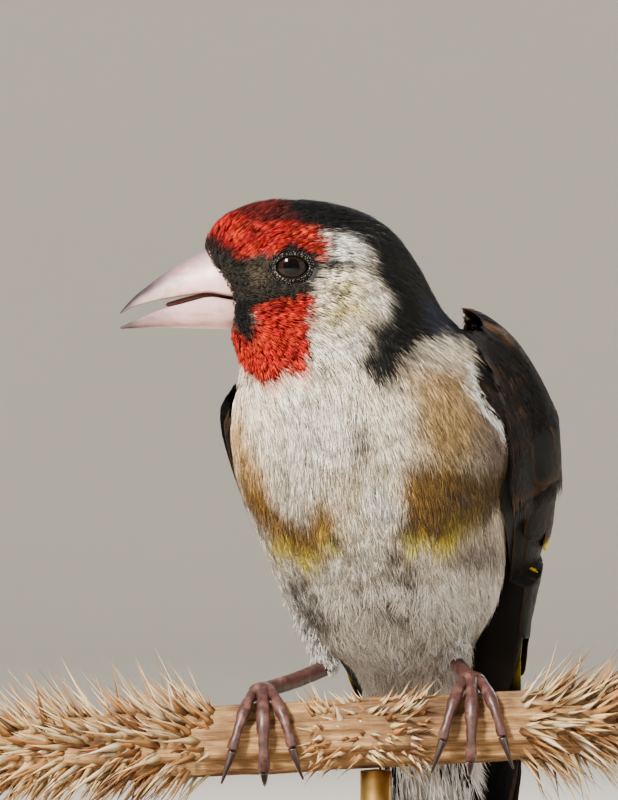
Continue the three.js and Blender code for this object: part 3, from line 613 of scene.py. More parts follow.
def markings(points, held=None):
    """The plumage colour at points in mm. held tells which of them belong to the bend of the wing."""
    wander = (
        np.stack([noise(points, 1.6, 5), noise(points, 1.6, 6)], -1) * 5
        + np.stack([noise(points, 0.6, 7), noise(points, 0.6, 8)], -1) * 3
    )
    places = seen(points) + wander
    local = (points - BODY_AT) @ BODY_AXES.T
    facing = -slope(body_field, points)[:, 1]
    on_head = headness(points)
    in_front = np.clip(facing * 5 + 1.2, 0, 1)
    # Breast and belly.
    colour = plain(CREAM, len(points))
    colour = over(
        colour, WHITE, 0.55 * spot(places, (300, 440), (60, 75)) + 0.35 * spot(places, (350, 560), (60, 50))
    )
    colour = over(
        colour, TAN, 0.3 * spot(places, (270, 440), (34, 60)) + 0.3 * spot(places, (352, 500), (40, 34))
    )
    colour = over(colour, GREY_WHITE, np.clip((places[:, 1] - 545) / 50, 0, 0.85))
    colour = over(colour, TAN * 0.85, 0.9 * patch(places, SHOULDER_BROWN, 24))
    colour = over(colour, GOLD * 0.9, 0.62 * spot(places, (446, 438), (32, 44)))
    colour = over(colour, MANTLE, 0.6 * spot(places, (448, 372), (26, 30)))
    colour = over(colour, LILAC_GREY, 0.85 * spot(places, (497, 448), (26, 58)))
    colour = over(colour, TAN * 0.95, 0.9 * patch(places, SIDE_LEFT, 16))
    colour = over(
        colour, OCHRE * 1.5,
        0.5 * patch(places, [(236, 440), (252, 450), (264, 480), (276, 502), (262, 512), (244, 490)], 14)
    )
    colour = over(colour, OCHRE, 0.95 * patch(places, BREAST_LEFT, 9))
    colour = over(colour, GOLD * 1.5, 0.6 * spot(places, (322, 522), (13, 14)))
    # The ochre patch on the right of the breast darkens toward its right edge: painted shade on the side
    # turned from the light.
    right = patch(places, BREAST_RIGHT, 12)
    colour = over(
        colour, OCHRE + (SHADED_OCHRE - OCHRE) * np.clip((places[:, 0:1] - 395) / 75, 0, 1), 0.96 * right
    )
    colour = over(colour, YELLOW * 0.35, 0.5 * spot(places, (462, 532), (20, 10)))
    colour = over(colour, LILAC_GREY, 0.8 * spot(places, (478, 560), (34, 20)))
    colour = over(colour, WHITE, 0.85 * patch(places, WEDGE_WHITE, 8))
    for centre, radii in (
        ((310, 563), (13, 9)), ((334, 547), (12, 8)), ((284, 553), (14, 7)), ((414, 546), (16, 9)),
        ((446, 550), (13, 8))
    ):
        colour = over(colour, YELLOW, spot(places, centre, radii))
    streak = noise(points * (1.8, 1.8, 0.45), 1.5, 21)
    colour = over(
        colour, DOWN, np.clip((streak - 0.28) * 3.2, 0, 0.85) * np.clip((places[:, 1] - 425) / 110, 0.1, 1)
    )
    colour = over(
        colour, WHITE, np.clip((-streak - 0.2) * 3, 0, 0.8) * np.clip((places[:, 1] - 545) / 60, 0, 1)
    )
    # Dark partings on the breast and belly: the grey down, darkened further as painted shade in the gaps
    # between clumps.
    for u, v, wide, high in PARTINGS[:6]:
        colour = over(
            colour, DOWN * 0.7,
            spot(places, (u, v), (wide * 1.3, high * 1.3))
            * np.clip(0.75 + 1.6 * noise(points * (2.4, 2.4, 0.6), 1.0, 23), 0, 1)
        )
    # What the camera doesn't see: brown mantle, pale rump and vent, tan flanks.
    behind = plain(CREAM, len(points))
    behind = over(behind, TAN, np.clip((12 - np.abs(local[:, 1] - 2)) / 8, 0, 0.6))
    behind = over(
        behind, MANTLE, np.clip((local[:, 2] - 1) / 5, 0, 1) * np.clip((23 - local[:, 1]) / 5, 0, 1)
    )
    behind = over(behind, WHITE, np.clip((local[:, 1] - 21) / 6, 0, 0.8))
    colour = colour * in_front[:, None] + behind * (1 - in_front[:, None])
    # Head, the same on both sides.
    head = plain(CREAM, len(points))
    head = over(
        head, WHITE,
        0.9 * spot(places, (346, 243), (30, 20)) + 0.5 * spot(places, (388, 305), (16, 18))
        + 0.5 * spot(places, (345, 352), (26, 16))
    )
    head = over(
        head, EAR_BUFF,
        0.75 * spot(places, (353, 314), (20, 9)) + 0.55 * spot(places, (352, 292), (22, 9))
        + 0.4 * spot(places, (335, 325), (18, 7))
    )
    fine = noise(points * (0.55, 1, 1.7), 0.55, 31)
    head = over(head, SLATE * 0.6, np.clip((fine - 0.2) * 2.4, 0, 0.8))
    # Dark partings on the cheek: painted shade in the gaps between feathers over their dark bases.
    for u, v, wide, high in PARTINGS[6:]:
        head = over(head, BLACK * 2, 0.8 * spot(places, (u, v), (wide, high)))
    head = over(
        head, SLATE * 0.6,
        0.8 * patch(places, [(332, 262), (346, 262), (372, 268), (364, 272), (340, 271), (322, 268)], 5)
    )
    # The hindneck is painted in its bluish shade rather than its own grey-brown.
    head = over(head, SHADED_NAPE, patch(places, HIND_NECK, 8))
    head = over(head, BLACK, patch(places, CROWN_BAND, 6))
    head = over(
        head, BLUE_BLACK, 0.3 * patch(places, CROWN_BAND, 12) * np.clip(noise(points, 1.1, 33) + 0.1, 0, 1)
    )
    head = over(
        head, WHITE * 0.8,
        0.8 * patch(places, CROWN_BAND, 6) * np.clip(noise(points * (1, 1, 2), 0.45, 37) * 3 - 1.4, 0, 1)
        * spot(places, (362, 240), (22, 14))
    )
    # The red varies at random between scarlet, orange and dark patches; along its upper edge it darkens
    # further, painted shade where the forehead turns away from the light.
    red = SCARLET + (ORANGE_RED - SCARLET) * np.clip(0.3 + 0.9 * noise(points, 0.9, 41)[:, None], 0, 1)
    red = red + (DARK_RED - red) * np.clip((noise(points, 0.7, 43)[:, None] - 0.25) * 1.6, 0, 0.75)
    red = over(red, DARK_RED, 0.85 * np.clip((222 - places[:, 1] + 0.12 * (places[:, 0] - 240)) / 9, 0, 1))
    head = over(head, red, np.maximum(patch(places, FACE_RED_ABOVE, 5), patch(places, FACE_RED_BELOW, 5)))
    head = over(head, BROWN_BLACK, np.maximum(0.97 * patch(places, LORES, 5), patch(places, CHIN_NOTCH, 5)))
    head = over(head, rgb(120, 104, 84), 0.5 * spot(places, (262, 276), (12, 14)))
    lower = np.clip(
        (points[:, 2] - 33.5 - 0.22 * (points[:, 0] + 4)) / 1.6 + 0.4 * noise(points, 1.2, 45), 0, 1
    )
    band = patch(places, CROWN_BAND, 6) * (points[:, 2] > 33.5)
    share = np.maximum(lower, band)
    colour = colour * (1 - share[:, None]) + head * share[:, None]
    # The bend of the left wing lies over the side of the breast, black with a white edge and buff fringes.
    on_wing_bend, on_white = on_bend(points) if held is None else held
    bend = over(
        plain(BLACK * 1.4, len(points)), MANTLE * 0.8, np.clip(noise(points, 0.7, 47) * 1.5 - 0.4, 0, 0.7)
    )
    bend = over(
        bend, TAN, spot(places, (470, 343), (14, 7)) * np.clip(noise(points * (1, 1, 2), 0.5, 48) * 2, 0, 1)
    )
    colour = over(colour, bend, on_wing_bend * 1.0)
    colour = over(colour, WHITE, on_white * 1.0)
    return np.clip(colour, 0.004, 1)


bm = bmesh.new()
bmesh.ops.create_uvsphere(bm, u_segments=120, v_segments=170, radius=1)
ball = np.array([v.co for v in bm.verts])
along = np.arcsin(np.clip(ball[:, 2], -1, 1)) / (math.pi / 2)
around = np.arctan2(ball[:, 1], ball[:, 0])
surface = on_skin(along, around, 0)
surface = surface - slope(body_field, surface) * coat_depth(surface)[:, None]
for v, co in zip(bm.verts, metres(surface)):
    v.co = co
bmesh.ops.recalc_face_normals(bm, faces=bm.faces)
skin = finished("skin", bm)
tint = np.ones((len(surface), 4), np.float32)
tint[:, :3] = markings(surface) * 0.4
skin.data.color_attributes.new("plumage", "FLOAT_COLOR", "POINT")
skin.data.color_attributes["plumage"].data.foreach_set("color", tint.ravel())
placed(skin, painted_material("skin_under_feathers", 0.85), "plumage_body", "head", "neck", "torso")


# The thighs: feathered cones from the belly to the ankles. Their bare skin lies under a coat of short tufts.
ANKLES = {"right": np.array([-2.6, 9.5, 2.8]), "left": np.array([12.1, 6.4, 3.6])}


def curve_through(knots, t):
    return curve_and_way(knots, t)[0]


def limb(name, knots, radius, around, along, up=(0, 0, 1)):
    """A round limb along a smooth line. radius(t, angle) is in mm, and angle 90 degrees points along up."""

    def place(t, angle):
        centre = curve_through(knots, t)
        way = unit(
            curve_through(knots, np.clip(t + 0.01, 0, 1)) - curve_through(knots, np.clip(t - 0.01, 0, 1))
        )
        side = unit(np.cross(way, np.asarray(up, float)))
        top = np.cross(side, way)
        closed = np.sqrt(np.clip(1 - np.clip(1 - np.minimum(t, 1 - t) / 0.03, 0, 1) ** 2, 0.0, 1))
        return (
            centre
            + (
                side * np.cos(angle)[:, None] + top * np.sin(angle)[:, None]
            ) * (radius(t, angle) * closed)[:, None]
        )

    return tube(name, around, along, place)


def thigh_line(side):
    ankle = ANKLES[side]
    hip = ankle + ((-1.4 if side == "right" else -0.4), -4.6, 10)
    return [hip, (ankle + hip) / 2 + (0, 0.8, 0), ankle + (0, 0.2, 0.5)]


def paint(piece, colours):
    """Writes a piece's colour at each vertex, from a function of its place in mm."""
    co = np.array([v.co for v in piece.data.vertices]) * 1000 - (0, 0, PERCH_TOP)
    tint = np.ones((len(co), 4), np.float32)
    tint[:, :3] = colours(co)
    piece.data.color_attributes.new("plumage", "FLOAT_COLOR", "POINT")
    piece.data.color_attributes["plumage"].data.foreach_set("color", tint.ravel())
    return piece


for side in ("left", "right"):
    thigh = limb(
        "skin_thigh_" + side, thigh_line(side), lambda t, a: 3.1 - 2.05 * t ** 0.8, 40, 40, (0, 1, 0)
    )
    paint(thigh, lambda co: plain(GREY_WHITE * 0.4, len(co)))
    placed(thigh, skin.data.materials[0], "plumage_body", "thigh_" + side)


# The coat: every feather is a tuft of fine barbs that share a root, follow the body's curve tailward and
# overlap the next. They are shortest round the bill and longest on the belly, where they part into strands.
GAPE = np.array([-17.0, -9.0, 46.0])
EYE_AT = np.array([-6.6, -9.0, 49.1])


def flow(points):
    """The lie of the feathers: away from the bill on the head, tailward on the body, and round the eyes."""
    from_bill = points - GAPE
    distance = np.linalg.norm(from_bill, axis=1)
    share = np.clip((distance - 13) / 13, 0, 1)[:, None]
    share = share * share * (3 - 2 * share)
    way = unit(from_bill) * (1 - share) + TAILWARD * share
    to_eye = (EYE_AT - points) * (1, 0, 1)
    near = np.linalg.norm(to_eye, axis=1)
    u = to_eye / np.maximum(near, 1e-6)[:, None]
    close = np.clip(1 - (near - 2.6) / 2.4, 0, 1) * (points[:, 2] > 43)
    towards = np.maximum((way * u).sum(1), 0) * close
    return way - u * (towards * 1.25)[:, None]


def grow(name, roots, patches, length, barbs, width, fan, lift, seed, knots=3, wave=0.25):
    """Tufts of barbs from roots on the body. length, fan and lift are one value for all or one a tuft."""
    dice = np.random.default_rng(seed)
    n = len(roots)
    length = np.broadcast_to(length, n) * dice.uniform(0.78, 1.22, n)
    point, line, normals = roots, [roots], []
    normal = slope(body_field, roots)
    swing = 0.5 * noise(roots, 2.6, seed + 1) + dice.normal(0, 0.14, n)
    steps = knots - 1
    for i in range(steps):
        way = flow(point)
        way = unit(way - normal * (way * normal).sum(1)[:, None])
        way = unit(way + np.cross(normal, way) * (swing * wave)[:, None])
        point = point + way * (length / steps)[:, None]
        normal = slope(body_field, point)
        point = point - normal * body_field(point)[:, None]
        line.append(point)
        normals.append(normal)
    line = np.stack(line, 1)
    first = slope(body_field, roots)
    normals = np.stack([first] + normals, 1)
    side = unit(np.cross(normals, line[:, -1:] - line[:, :1]))
    t = np.linspace(0, 1, knots)
    rise = -0.5 * (1 - t) ** 2 + np.asarray(lift).reshape(-1, 1) * t ** 1.3 + 0.12 * np.sin(t * math.pi)
    paths, widths, tints, places, faces = [], [], [], [], []
    held = on_bend(roots)
    tint = np.stack([markings(line[:, max(k, 1)], held) for k in range(knots)], 1)
    tint = tint * 0.7 + tint[:, -1:] * 0.3
    stiff = np.clip((tint[:, -1, 0] / (tint[:, -1, 1] + 0.01) - 3) / 3, 0, 1)
    pale = np.clip(tint[:, -1].mean(1) * 2.2, 0, 1)
    own = dice.normal(0, 0.15, (n, 1)) + 0.24 * noise(roots, 1.1, seed + 2)[:, None]
    root_dark = (0.2 + 0.14 * pale - 0.14 * stiff)[:, None]
    rise = rise + (0.16 * stiff)[:, None] * t
    width = width * (1 + 0.55 * stiff[:, None])
    fan = np.asarray(fan) * (1 - 0.35 * stiff)
    for b in range(barbs):
        lean = (b - (barbs - 1) / 2) / max(barbs - 1, 1) * 2 + dice.normal(0, 0.28, n)
        spread = (0.1 * lean)[:, None] + (np.asarray(fan) * lean * length)[:, None] * t ** 1.25
        shift = 1 - 0.16 * lean ** 2 + dice.normal(0, 0.09, n)
        along = line[:, :1] + (line - line[:, :1]) * np.clip(shift, 0.55, 1.25)[:, None, None]
        loft = rise + dice.normal(0, 0.06, (n, 1)) * t + (0.1 * np.cos(lean * 1.4))[:, None] * t
        paths.append(along + side * spread[..., None] + normals * loft[..., None])
        taper = np.array([0.85, 1.0, 0.75])[: knots - 1] if knots <= 4 else np.linspace(1, 0.5, knots - 1)
        widths.append(np.asarray(width) * dice.uniform(0.8, 1.2, (n, 1)) * taper)
        brightness = 1.04 + own + dice.normal(0, 0.16 + 0.14 * stiff[:, None], (n, 1))
        brightness = np.where(dice.random((n, 1)) < 0.1, brightness * 0.35, brightness)
        brightness = np.where(dice.random((n, 1)) < 0.2 * pale[:, None], brightness * 1.35, brightness)
        shade = root_dark + (1 - root_dark) * np.clip(t[None] * (1.5 + 0.4 * pale[:, None]), 0, 1) ** 1.3
        tints.append(np.clip(tint * brightness[:, None] * shade[..., None], 0.001, 1))
        places.append(patches)
        faces.append(first)
    tints = np.concatenate(tints)
    if knots == 5:
        curls = (
            0.35
            * np.cross(
                np.concatenate(faces), unit(np.concatenate(paths)[:, -1] - np.concatenate(paths)[:, 0])
            )
        )
        bend_by = dice.normal(0, 1, (len(curls), 1, 1)) * t[None, :, None] ** 2
        paths = [np.concatenate(paths) + curls[:, None] * bend_by]
    return blades(
        name, np.concatenate(paths), np.concatenate(widths), 0.3, tints, np.concatenate(places),
        np.concatenate(faces)
    )


# Roots spread evenly over the skin: points by area, then one kept to each small cell.
mesh = skin.data
mesh.calc_loop_triangles()
corners = np.array([t.vertices[:] for t in mesh.loop_triangles])
outer_surface = on_skin(along, around, 0)
a, b, c = (outer_surface[corners[:, i]] for i in range(3))
areas = np.linalg.norm(np.cross(b - a, c - a), axis=1) / 2
dice = np.random.default_rng(5)
chosen = dice.choice(len(areas), 150000, p=areas / areas.sum())
mix = dice.dirichlet((1, 1, 1), 150000)
roots = (outer_surface[corners[chosen]] * mix[..., None]).sum(1)
roots = roots - slope(body_field, roots) * body_field(roots)[:, None]
skin_uv = np.stack(
    [
        (np.arctan2(*(ball[corners[chosen]] * mix[..., None]).sum(1)[:, 1::-1].T) / (2 * math.pi)) % 1,
        ((along[corners[chosen]] * mix).sum(1) + 1) / 2
    ],
    -1
)
local = (roots - BODY_AT) @ BODY_AXES.T
beside = np.degrees(np.arctan2(local[:, 2], np.abs(local[:, 0])))


def profile(pairs):
    xs, ys = zip(*pairs)
    return lambda x: np.interp(x, xs, ys)


LOWER_EDGE = profile([(-20, 20), (-14, 7), (-4, 0), (10, -4), (24, -4), (34, 2), (46, 10), (62, 22)])
UPPER_EDGE = profile(
    [(-20, 34), (-16, 46), (-10, 56), (0, 65), (12, 70), (24, 72), (34, 66), (46, 56), (62, 30)]
)
under_wing = (
    (beside > LOWER_EDGE(local[:, 1]) + 12) & (beside < UPPER_EDGE(local[:, 1]) - 9)
    & (local[:, 1] > np.where(local[:, 0] > 0, -12, -4))
)
toward_eye = (roots - EYE_AT) * (1, 0, 1)
toward_eye = toward_eye - (0.35, 0, -0.25)
eye_near = np.hypot(toward_eye[:, 0] / 1.3, toward_eye[:, 2])
at_eye = (eye_near < 1.72) & (roots[:, 2] > 43)
half = np.abs(roots[:, 1] + 9)
BILL_TOP = profile([(-20, 49.3), (-16, 51.4), (-12, 52.3), (-9, 52.3)])
BILL_SIDE = profile([(-17, 2.8), (-15.5, 3.2), (-12.5, 3.6), (-10.5, 3.7)])
bill_high = (roots[:, 2] - (BILL_TOP(roots[:, 0]) + 42.0) / 2) / ((BILL_TOP(roots[:, 0]) - 42.0) / 2)
in_bill = (
    (roots[:, 0] < -10.6)
    & ((half / BILL_SIDE(roots[:, 0])) ** 2 + bill_high ** 2 < np.where(roots[:, 2] < 46.5, 1.05, 0.85))
)
free = ~under_wing & ~at_eye & ~in_bill
on_head = headness(roots)
bill_near = np.linalg.norm(roots - GAPE, axis=1)
front = -slope(body_field, roots)[:, 1]
lower_belly = np.clip((17.5 - roots[:, 2]) / 6, 0, 1) * (front > -0.25)

groups = {
    "coat_face": (on_head > 0.5) & (bill_near < 13.5),
    "coat_crown": (on_head > 0.5) & (bill_near >= 13.5),
    "coat_breast": (on_head <= 0.5) & (front > 0.1) & (lower_belly < 0.5),
    "coat_flanks": (on_head <= 0.5) & (front <= 0.1) & (lower_belly < 0.5),
    "coat_belly": (on_head <= 0.5) & (lower_belly >= 0.5),
}
# spacing, barbs, width, fan, lift
styles = {
    "coat_face": (0.38, 5, 0.085, 0.13, 0.14),
    "coat_crown": (0.48, 5, 0.11, 0.12, 0.14),
    "coat_breast": (0.64, 6, 0.115, 0.15, 0.22),
    "coat_flanks": (0.90, 6, 0.165, 0.16, 0.18),
    "coat_belly": (0.72, 5, 0.13, 0.14, 0.42),
}
plume = painted_material("plumage", 0.55, Sheen_Weight=0.02, Sheen_Roughness=0.4, Specular_IOR_Level=0.22)
for turn_of, (name, members) in enumerate(groups.items()):
    spacing, barbs, width, fan, lift = styles[name]
    index = np.flatnonzero(members & free)
    cells = np.floor(roots[index] / spacing).astype(np.int64)
    _, kept = np.unique(cells, axis=0, return_index=True)
    index = index[kept]
    if on_head[index].mean() > 0.5:
        tinted = markings(roots[index])
        red = tinted[:, 0] > 3 * tinted[:, 1]
        index = index[~red | (dice.random(len(index)) > 0.3)]
    p = roots[index]
    length = np.where(
        on_head[index] > 0.5,
        1.2 + 2.0 * np.clip((bill_near[index] - 5) / 14, 0, 1),
        4.4 + 1.2 * np.clip((40 - p[:, 2]) / 20, 0, 1) + 2.4 * lower_belly[index],
    )
    length = length * np.where((eye_near[index] < 4.2) & (p[:, 2] > 43), 0.7, 1)
    length = length * np.where(on_bend(p)[1], 0.6, 1)
    loft = lift * (1 + 0.9 * noise(p, 1.8, 60 + turn_of))
    knots = {"coat_face": 3, "coat_crown": 3, "coat_belly": 5}.get(name, 4)
    parts = max(1, math.ceil(len(index) * barbs * (6 * knots - 8) / 190000))
    for part in range(parts):
        mine = slice(part, None, parts)
        tufts = grow(
            name + "_%d" % part, p[mine], skin_uv[index][mine], length[mine], barbs, width, fan, loft[mine],
            70 + 9 * turn_of + part, knots=knots, wave=0.45 if knots < 5 else 0.9
        )
        placed(tufts, plume, "plumage_head" if name in ("coat_face", "coat_crown") else "plumage_body")


# The eyes: dark brown balls with a black pupil under a clear, wet cornea, set so that a shallow cap of each
# shows. A ring of bare black skin with rows of tiny pale grains closes round each, as lids.
EYE_RADIUS = 2.7


def calculated(tree, operation, *given):
    """A sum in a material, from numbers and from other nodes' outputs."""
    made = node(tree, "Math", operation=operation)
    for i, value in enumerate(given):
        if isinstance(value, float):
            made.inputs[i].default_value = value
        else:
            tree.links.new(value, made.inputs[i])
    return made.outputs[0]


eye_wet, tree, shader = material("eye", 0.12, Coat_Weight=0.22, Coat_Roughness=0.015, Specular_IOR_Level=0.05)
place = node(tree, "TexCoord").outputs["Object"]
flat = node(tree, "VectorMath", operation="MULTIPLY")
flat.inputs[1].default_value = (1, 0, 1)
centred = node(tree, "VectorMath", operation="SUBTRACT")
centred.inputs[1].default_value = (EYE_AT[0] / 1000, 0, (EYE_AT[2] + PERCH_TOP) / 1000)
tree.links.new(place, flat.inputs[0])
tree.links.new(flat.outputs["Vector"], centred.inputs[0])
ring = node(tree, "VectorMath", operation="LENGTH")
tree.links.new(centred.outputs["Vector"], ring.inputs[0])
from_centre = calculated(tree, "MULTIPLY", ring.outputs["Value"], 1000 / EYE_RADIUS)
IRIS = [
    (0.0, 4, 3, 4), (0.345, 5, 4, 4), (0.38, 30, 19, 13), (0.52, 26, 17, 12), (0.58, 7, 6, 6),
    (0.68, 6, 5, 6)
]
iris = ramp(tree, from_centre, *[(at, linear(*colour)) for at, *colour in IRIS])
rays = ramp(tree, grained(tree, Scale=5200.0, Detail=3.0), (0.3, grey(0.7)), (0.7, grey(1.25)))
tree.links.new(multiplied(tree, iris, rays), shader.inputs["Base Color"])
lid_skin = painted_material("eye_ring_skin", 0.6, fine=5000.0, Specular_IOR_Level=0.12)
bead_skin = painted_material("eye_ring_grains", 0.45, fine=6000.0)
for side, way in (("left", -1.0), ("right", 1.0)):
    hull = reach(body_field, EYE_AT, np.array([[0, way, 0]]), 0, 24)[0]
    centre = EYE_AT + (0, way * (hull - EYE_RADIUS + 0.75), 0)
    bm = bmesh.new()
    bmesh.ops.create_uvsphere(bm, u_segments=64, v_segments=48, radius=EYE_RADIUS / 1000)
    bmesh.ops.translate(bm, verts=bm.verts, vec=metres(centre))
    placed(finished("eye_ball_" + side, bm), eye_wet, "eye", "eye_" + side)

    def lid_line(angle, rx, rz):
        """A line round the eye that rises from the ball's surface to the head's own."""
        x, z = rx * np.cos(angle), rz * np.sin(angle)
        deep = np.sqrt(np.maximum(EYE_RADIUS ** 2 - x * x - z * z, 0.8))
        share = np.clip((np.hypot(x / 1.3, z) - 1.35) / 0.8, 0, 1)
        deep = deep + (hull - (hull - EYE_RADIUS + 0.75) - 0.05 - deep) * share
        return centre + np.stack([x + 0.35 * share, way * deep, z - 0.1 * share], -1)

    def lid_shape(t, angle):
        turn = t * 2 * math.pi
        out = 0.5 * np.cos(angle)
        corner = 1 + 0.12 * np.clip(-np.cos(turn), 0, 1) ** 6 + 0.1 * np.clip(np.cos(turn), 0, 1) ** 6
        middle = lid_line(turn, (2.1 + 0.8 * out) * corner, 1.6 + 0.72 * out)
        rolled = (
            0.1 + 0.2 * np.sin(angle)
            + 0.12 * np.exp(-(((np.cos(angle) + 0.75) / 0.35) ** 2)) * (np.sin(angle) > -0.2)
        )
        wrinkle = 0.05 * noise(middle * (1, 0.2, 1), 0.3, 9) * np.clip(np.sin(angle), 0, 1)
        return middle + np.stack([turn * 0, way * (rolled + wrinkle), turn * 0], -1)

    ring_piece = tube("eye_ring_" + side, 36, 160, lid_shape)
    paint(ring_piece, lambda co: rgb(11, 9, 9) * (1 + 0.8 * np.clip(noise(co, 0.25, 14)[:, None], 0, 1)))
    placed(ring_piece, lid_skin, "plumage_head")

    bm = bmesh.new()
    bead_dice = np.random.default_rng(3)
    for row_x, row_z, beads, size in (
        (1.96, 1.45, 44, 0.085), (2.16, 1.62, 44, 0.075), (2.38, 1.82, 48, 0.07)
    ):
        turns = (np.arange(beads) + bead_dice.uniform(-0.35, 0.35, beads)) / beads * 2 * math.pi
        spots = lid_line(
            turns, row_x * bead_dice.uniform(0.98, 1.02, beads),
            row_z * bead_dice.uniform(0.98, 1.02, beads)
        )
        for turn, spot_at in zip(turns, spots):
            if bead_dice.random() < 0.22:
                continue
            at = spot_at + np.array([0, way * (0.31 if row_x > 2 else 0.36), 0])
            made = bmesh.ops.create_icosphere(
                bm, subdivisions=1, radius=size * bead_dice.uniform(0.7, 1.25) / 1000
            )
            bmesh.ops.scale(bm, verts=made["verts"], vec=(1, 0.6, 1))
            bmesh.ops.translate(bm, verts=made["verts"], vec=metres(at))
    grains = finished("eye_ring_grains_" + side, bm)
    paint(
        grains,
        lambda co: rgb(112, 106, 100) * (0.15 + 1.0 * np.clip(0.5 + noise(co, 0.4, 12)[:, None], 0, 1))
    )
    placed(grains, bead_skin, "plumage_head")


# The bill: two horny halves, pale pinkish ivory with a lilac grey ridge, a dark tip and reddish brown along
# the cutting edge and at the gape. The nostril is a small dark slit near the forehead.
CULMEN = profile(
    [
        (-26.1, 44.05), (-24.6, 45.9), (-22.7, 47.3), (-21.2, 48.5), (-18.6, 50), (-15.5, 51.6),
        (-10.5, 52.4), (-8, 52.2)
    ]
)
EDGE_ABOVE = profile(
    [
        (-26.1, 43.85), (-24.6, 44.75), (-22.9, 45.25), (-20.1, 45.75), (-17.5, 46.15), (-15.9, 46.3),
        (-13.1, 45.75), (-10.5, 45.5)
    ]
)
EDGE_BELOW = profile(
    [
        (-26.1, 42.4), (-23.5, 43.6), (-21.2, 44.5), (-19.7, 44.85), (-17.5, 45.45), (-15.9, 45.9),
        (-13.2, 45.4), (-10.5, 45.1)
    ]
)
GONYS = profile([(-26.1, 42.15), (-22.9, 42.3), (-19.7, 42.3), (-16.4, 42.2), (-13.1, 42.1), (-10.5, 41.8)])
HALF_WIDTH = profile(
    [(-26.1, 0.14), (-25, 0.5), (-22.5, 1.3), (-19, 2.3), (-15.5, 3.2), (-12.5, 3.6), (-10.5, 3.7)]
)


def smooth_profile(table, x):
    return sum(
        table(x + d) * w for d, w in ((-0.7, 0.25), (-0.35, 0.25), (0, 0.0), (0.35, 0.25), (0.7, 0.25))
    )


def bill_half(ridge, edge):
    def place(t, angle):
        x = -9.4 + (-26.1 + 9.4) * t
        inward = np.clip((x + 26.1) / 1.4, 0, 1)
        top = np.where(
            inward < 1, ridge(x) * (1 - inward) + smooth_profile(ridge, x) * inward,
            smooth_profile(ridge, x)
        )
        low = np.where(
            inward < 1, edge(x) * (1 - inward) + smooth_profile(edge, x) * inward, smooth_profile(edge, x)
        )
        wide = (
            smooth_profile(HALF_WIDTH, np.maximum(x, -25.4))
            * np.where(x < -25.4, np.sqrt(np.clip((x + 26.2) / 0.8, 0.02, 1)), 1)
        )
        c, s = np.cos(angle), np.sin(angle)
        y = wide * np.sign(c) * np.abs(c) ** 0.92
        outer = low + (top - low) * np.maximum(s, 0) ** 1.12
        inner = low + (top - low) * 0.10 * np.minimum(s, 0) * -1
        z = np.where(s >= 0, outer, inner)
        rough = (
            0.035 * noise(np.stack([x * 0.5, y, z], -1), 0.8, 51)
            + 0.02 * noise(np.stack([x, y, z], -1), 0.35, 52)
        )
        z = z + rough * np.clip(s, 0, 1) * np.sign(top - low)
        tip = np.clip((1 - t) / 0.002, 0.05, 1)
        return np.stack([x, -9 + y * tip, z], -1)

    return place


def bill_colours(co):
    ivory = plain(rgb(212, 172, 170), len(co))
    height = (co[:, 2] - EDGE_ABOVE(co[:, 0])) / np.maximum(CULMEN(co[:, 0]) - EDGE_ABOVE(co[:, 0]), 0.4)
    ridge = np.clip((height - 0.62) * 3.2, 0, 1)
    lilac = rgb(116, 100, 122)
    colour = over(ivory, lilac, 0.8 * ridge * np.clip((-12.5 - co[:, 0]) / 4, 0.25, 1))
    streak = noise(co * (0.35, 1.2, 1.2), 0.55, 53)
    colour = over(colour, rgb(150, 106, 92), np.clip((streak - 0.1) * 0.9, 0, 0.5))
    near_edge = np.clip(1 - np.abs(co[:, 2] - (EDGE_ABOVE(co[:, 0]) + EDGE_BELOW(co[:, 0])) / 2) / 0.55, 0, 1)
    colour = over(colour, rgb(96, 48, 38), 0.85 * near_edge)
    below = np.clip((GONYS(co[:, 0]) + 1.2 - co[:, 2]) / 1.2, 0, 1)
    colour = over(colour, rgb(196, 140, 126), 0.5 * below)
    root = np.clip((co[:, 0] + 15) / 3, 0, 1)
    colour = over(colour, rgb(120, 66, 48), 0.6 * root)
    upper = co[:, 2] > (EDGE_ABOVE(co[:, 0]) + EDGE_BELOW(co[:, 0])) / 2
    tip = (
        np.clip((-18.6 - co[:, 0] + 0.6 * noise(co, 0.9, 54)) / 4.4, 0, 1)
        * np.where(upper, 0.25 + 0.75 * np.clip(height * 1.5, 0, 1), 0.7)
    )
    colour = over(colour, rgb(40, 31, 44), 0.95 * tip)
    colour = over(colour, rgb(40, 30, 34), np.clip((-23.6 - co[:, 0]) / 1.6, 0, 0.85))
    stain = (
        np.clip(noise(co * (0.5, 1, 1), 0.5, 57) * 1.6 - 0.1, 0, 1)
        * np.clip(1 - np.abs(co[:, 2] - EDGE_ABOVE(co[:, 0]) - 0.5) / 0.7, 0, 1)
    )
    colour = over(
        colour, rgb(176, 120, 70),
        0.8 * stain * np.clip((co[:, 0] + 21.5) / 2, 0, 1) * np.clip((-13.5 - co[:, 0]) / 1.5, 0, 1)
    )
    nostril = np.clip(1.6 - np.hypot((co[:, 0] + 14.9) / 0.55, (co[:, 2] - 49.4) / 0.32), 0, 1)
    return over(colour, rgb(34, 20, 18), nostril)


horn = painted_material(
    "bill_horn", 0.36, fine=2600.0, contrast=0.07, Coat_Weight=0.2, Coat_Roughness=0.25,
    Subsurface_Weight=0.12, Subsurface_Scale=0.0008
)
for name, ridge, edge in (("bill_upper", CULMEN, EDGE_ABOVE), ("bill_lower", GONYS, EDGE_BELOW)):
    piece = tube(name + "_horn", 72, 104, bill_half(ridge, edge))
    placed(paint(piece, bill_colours), horn, "bill", name)

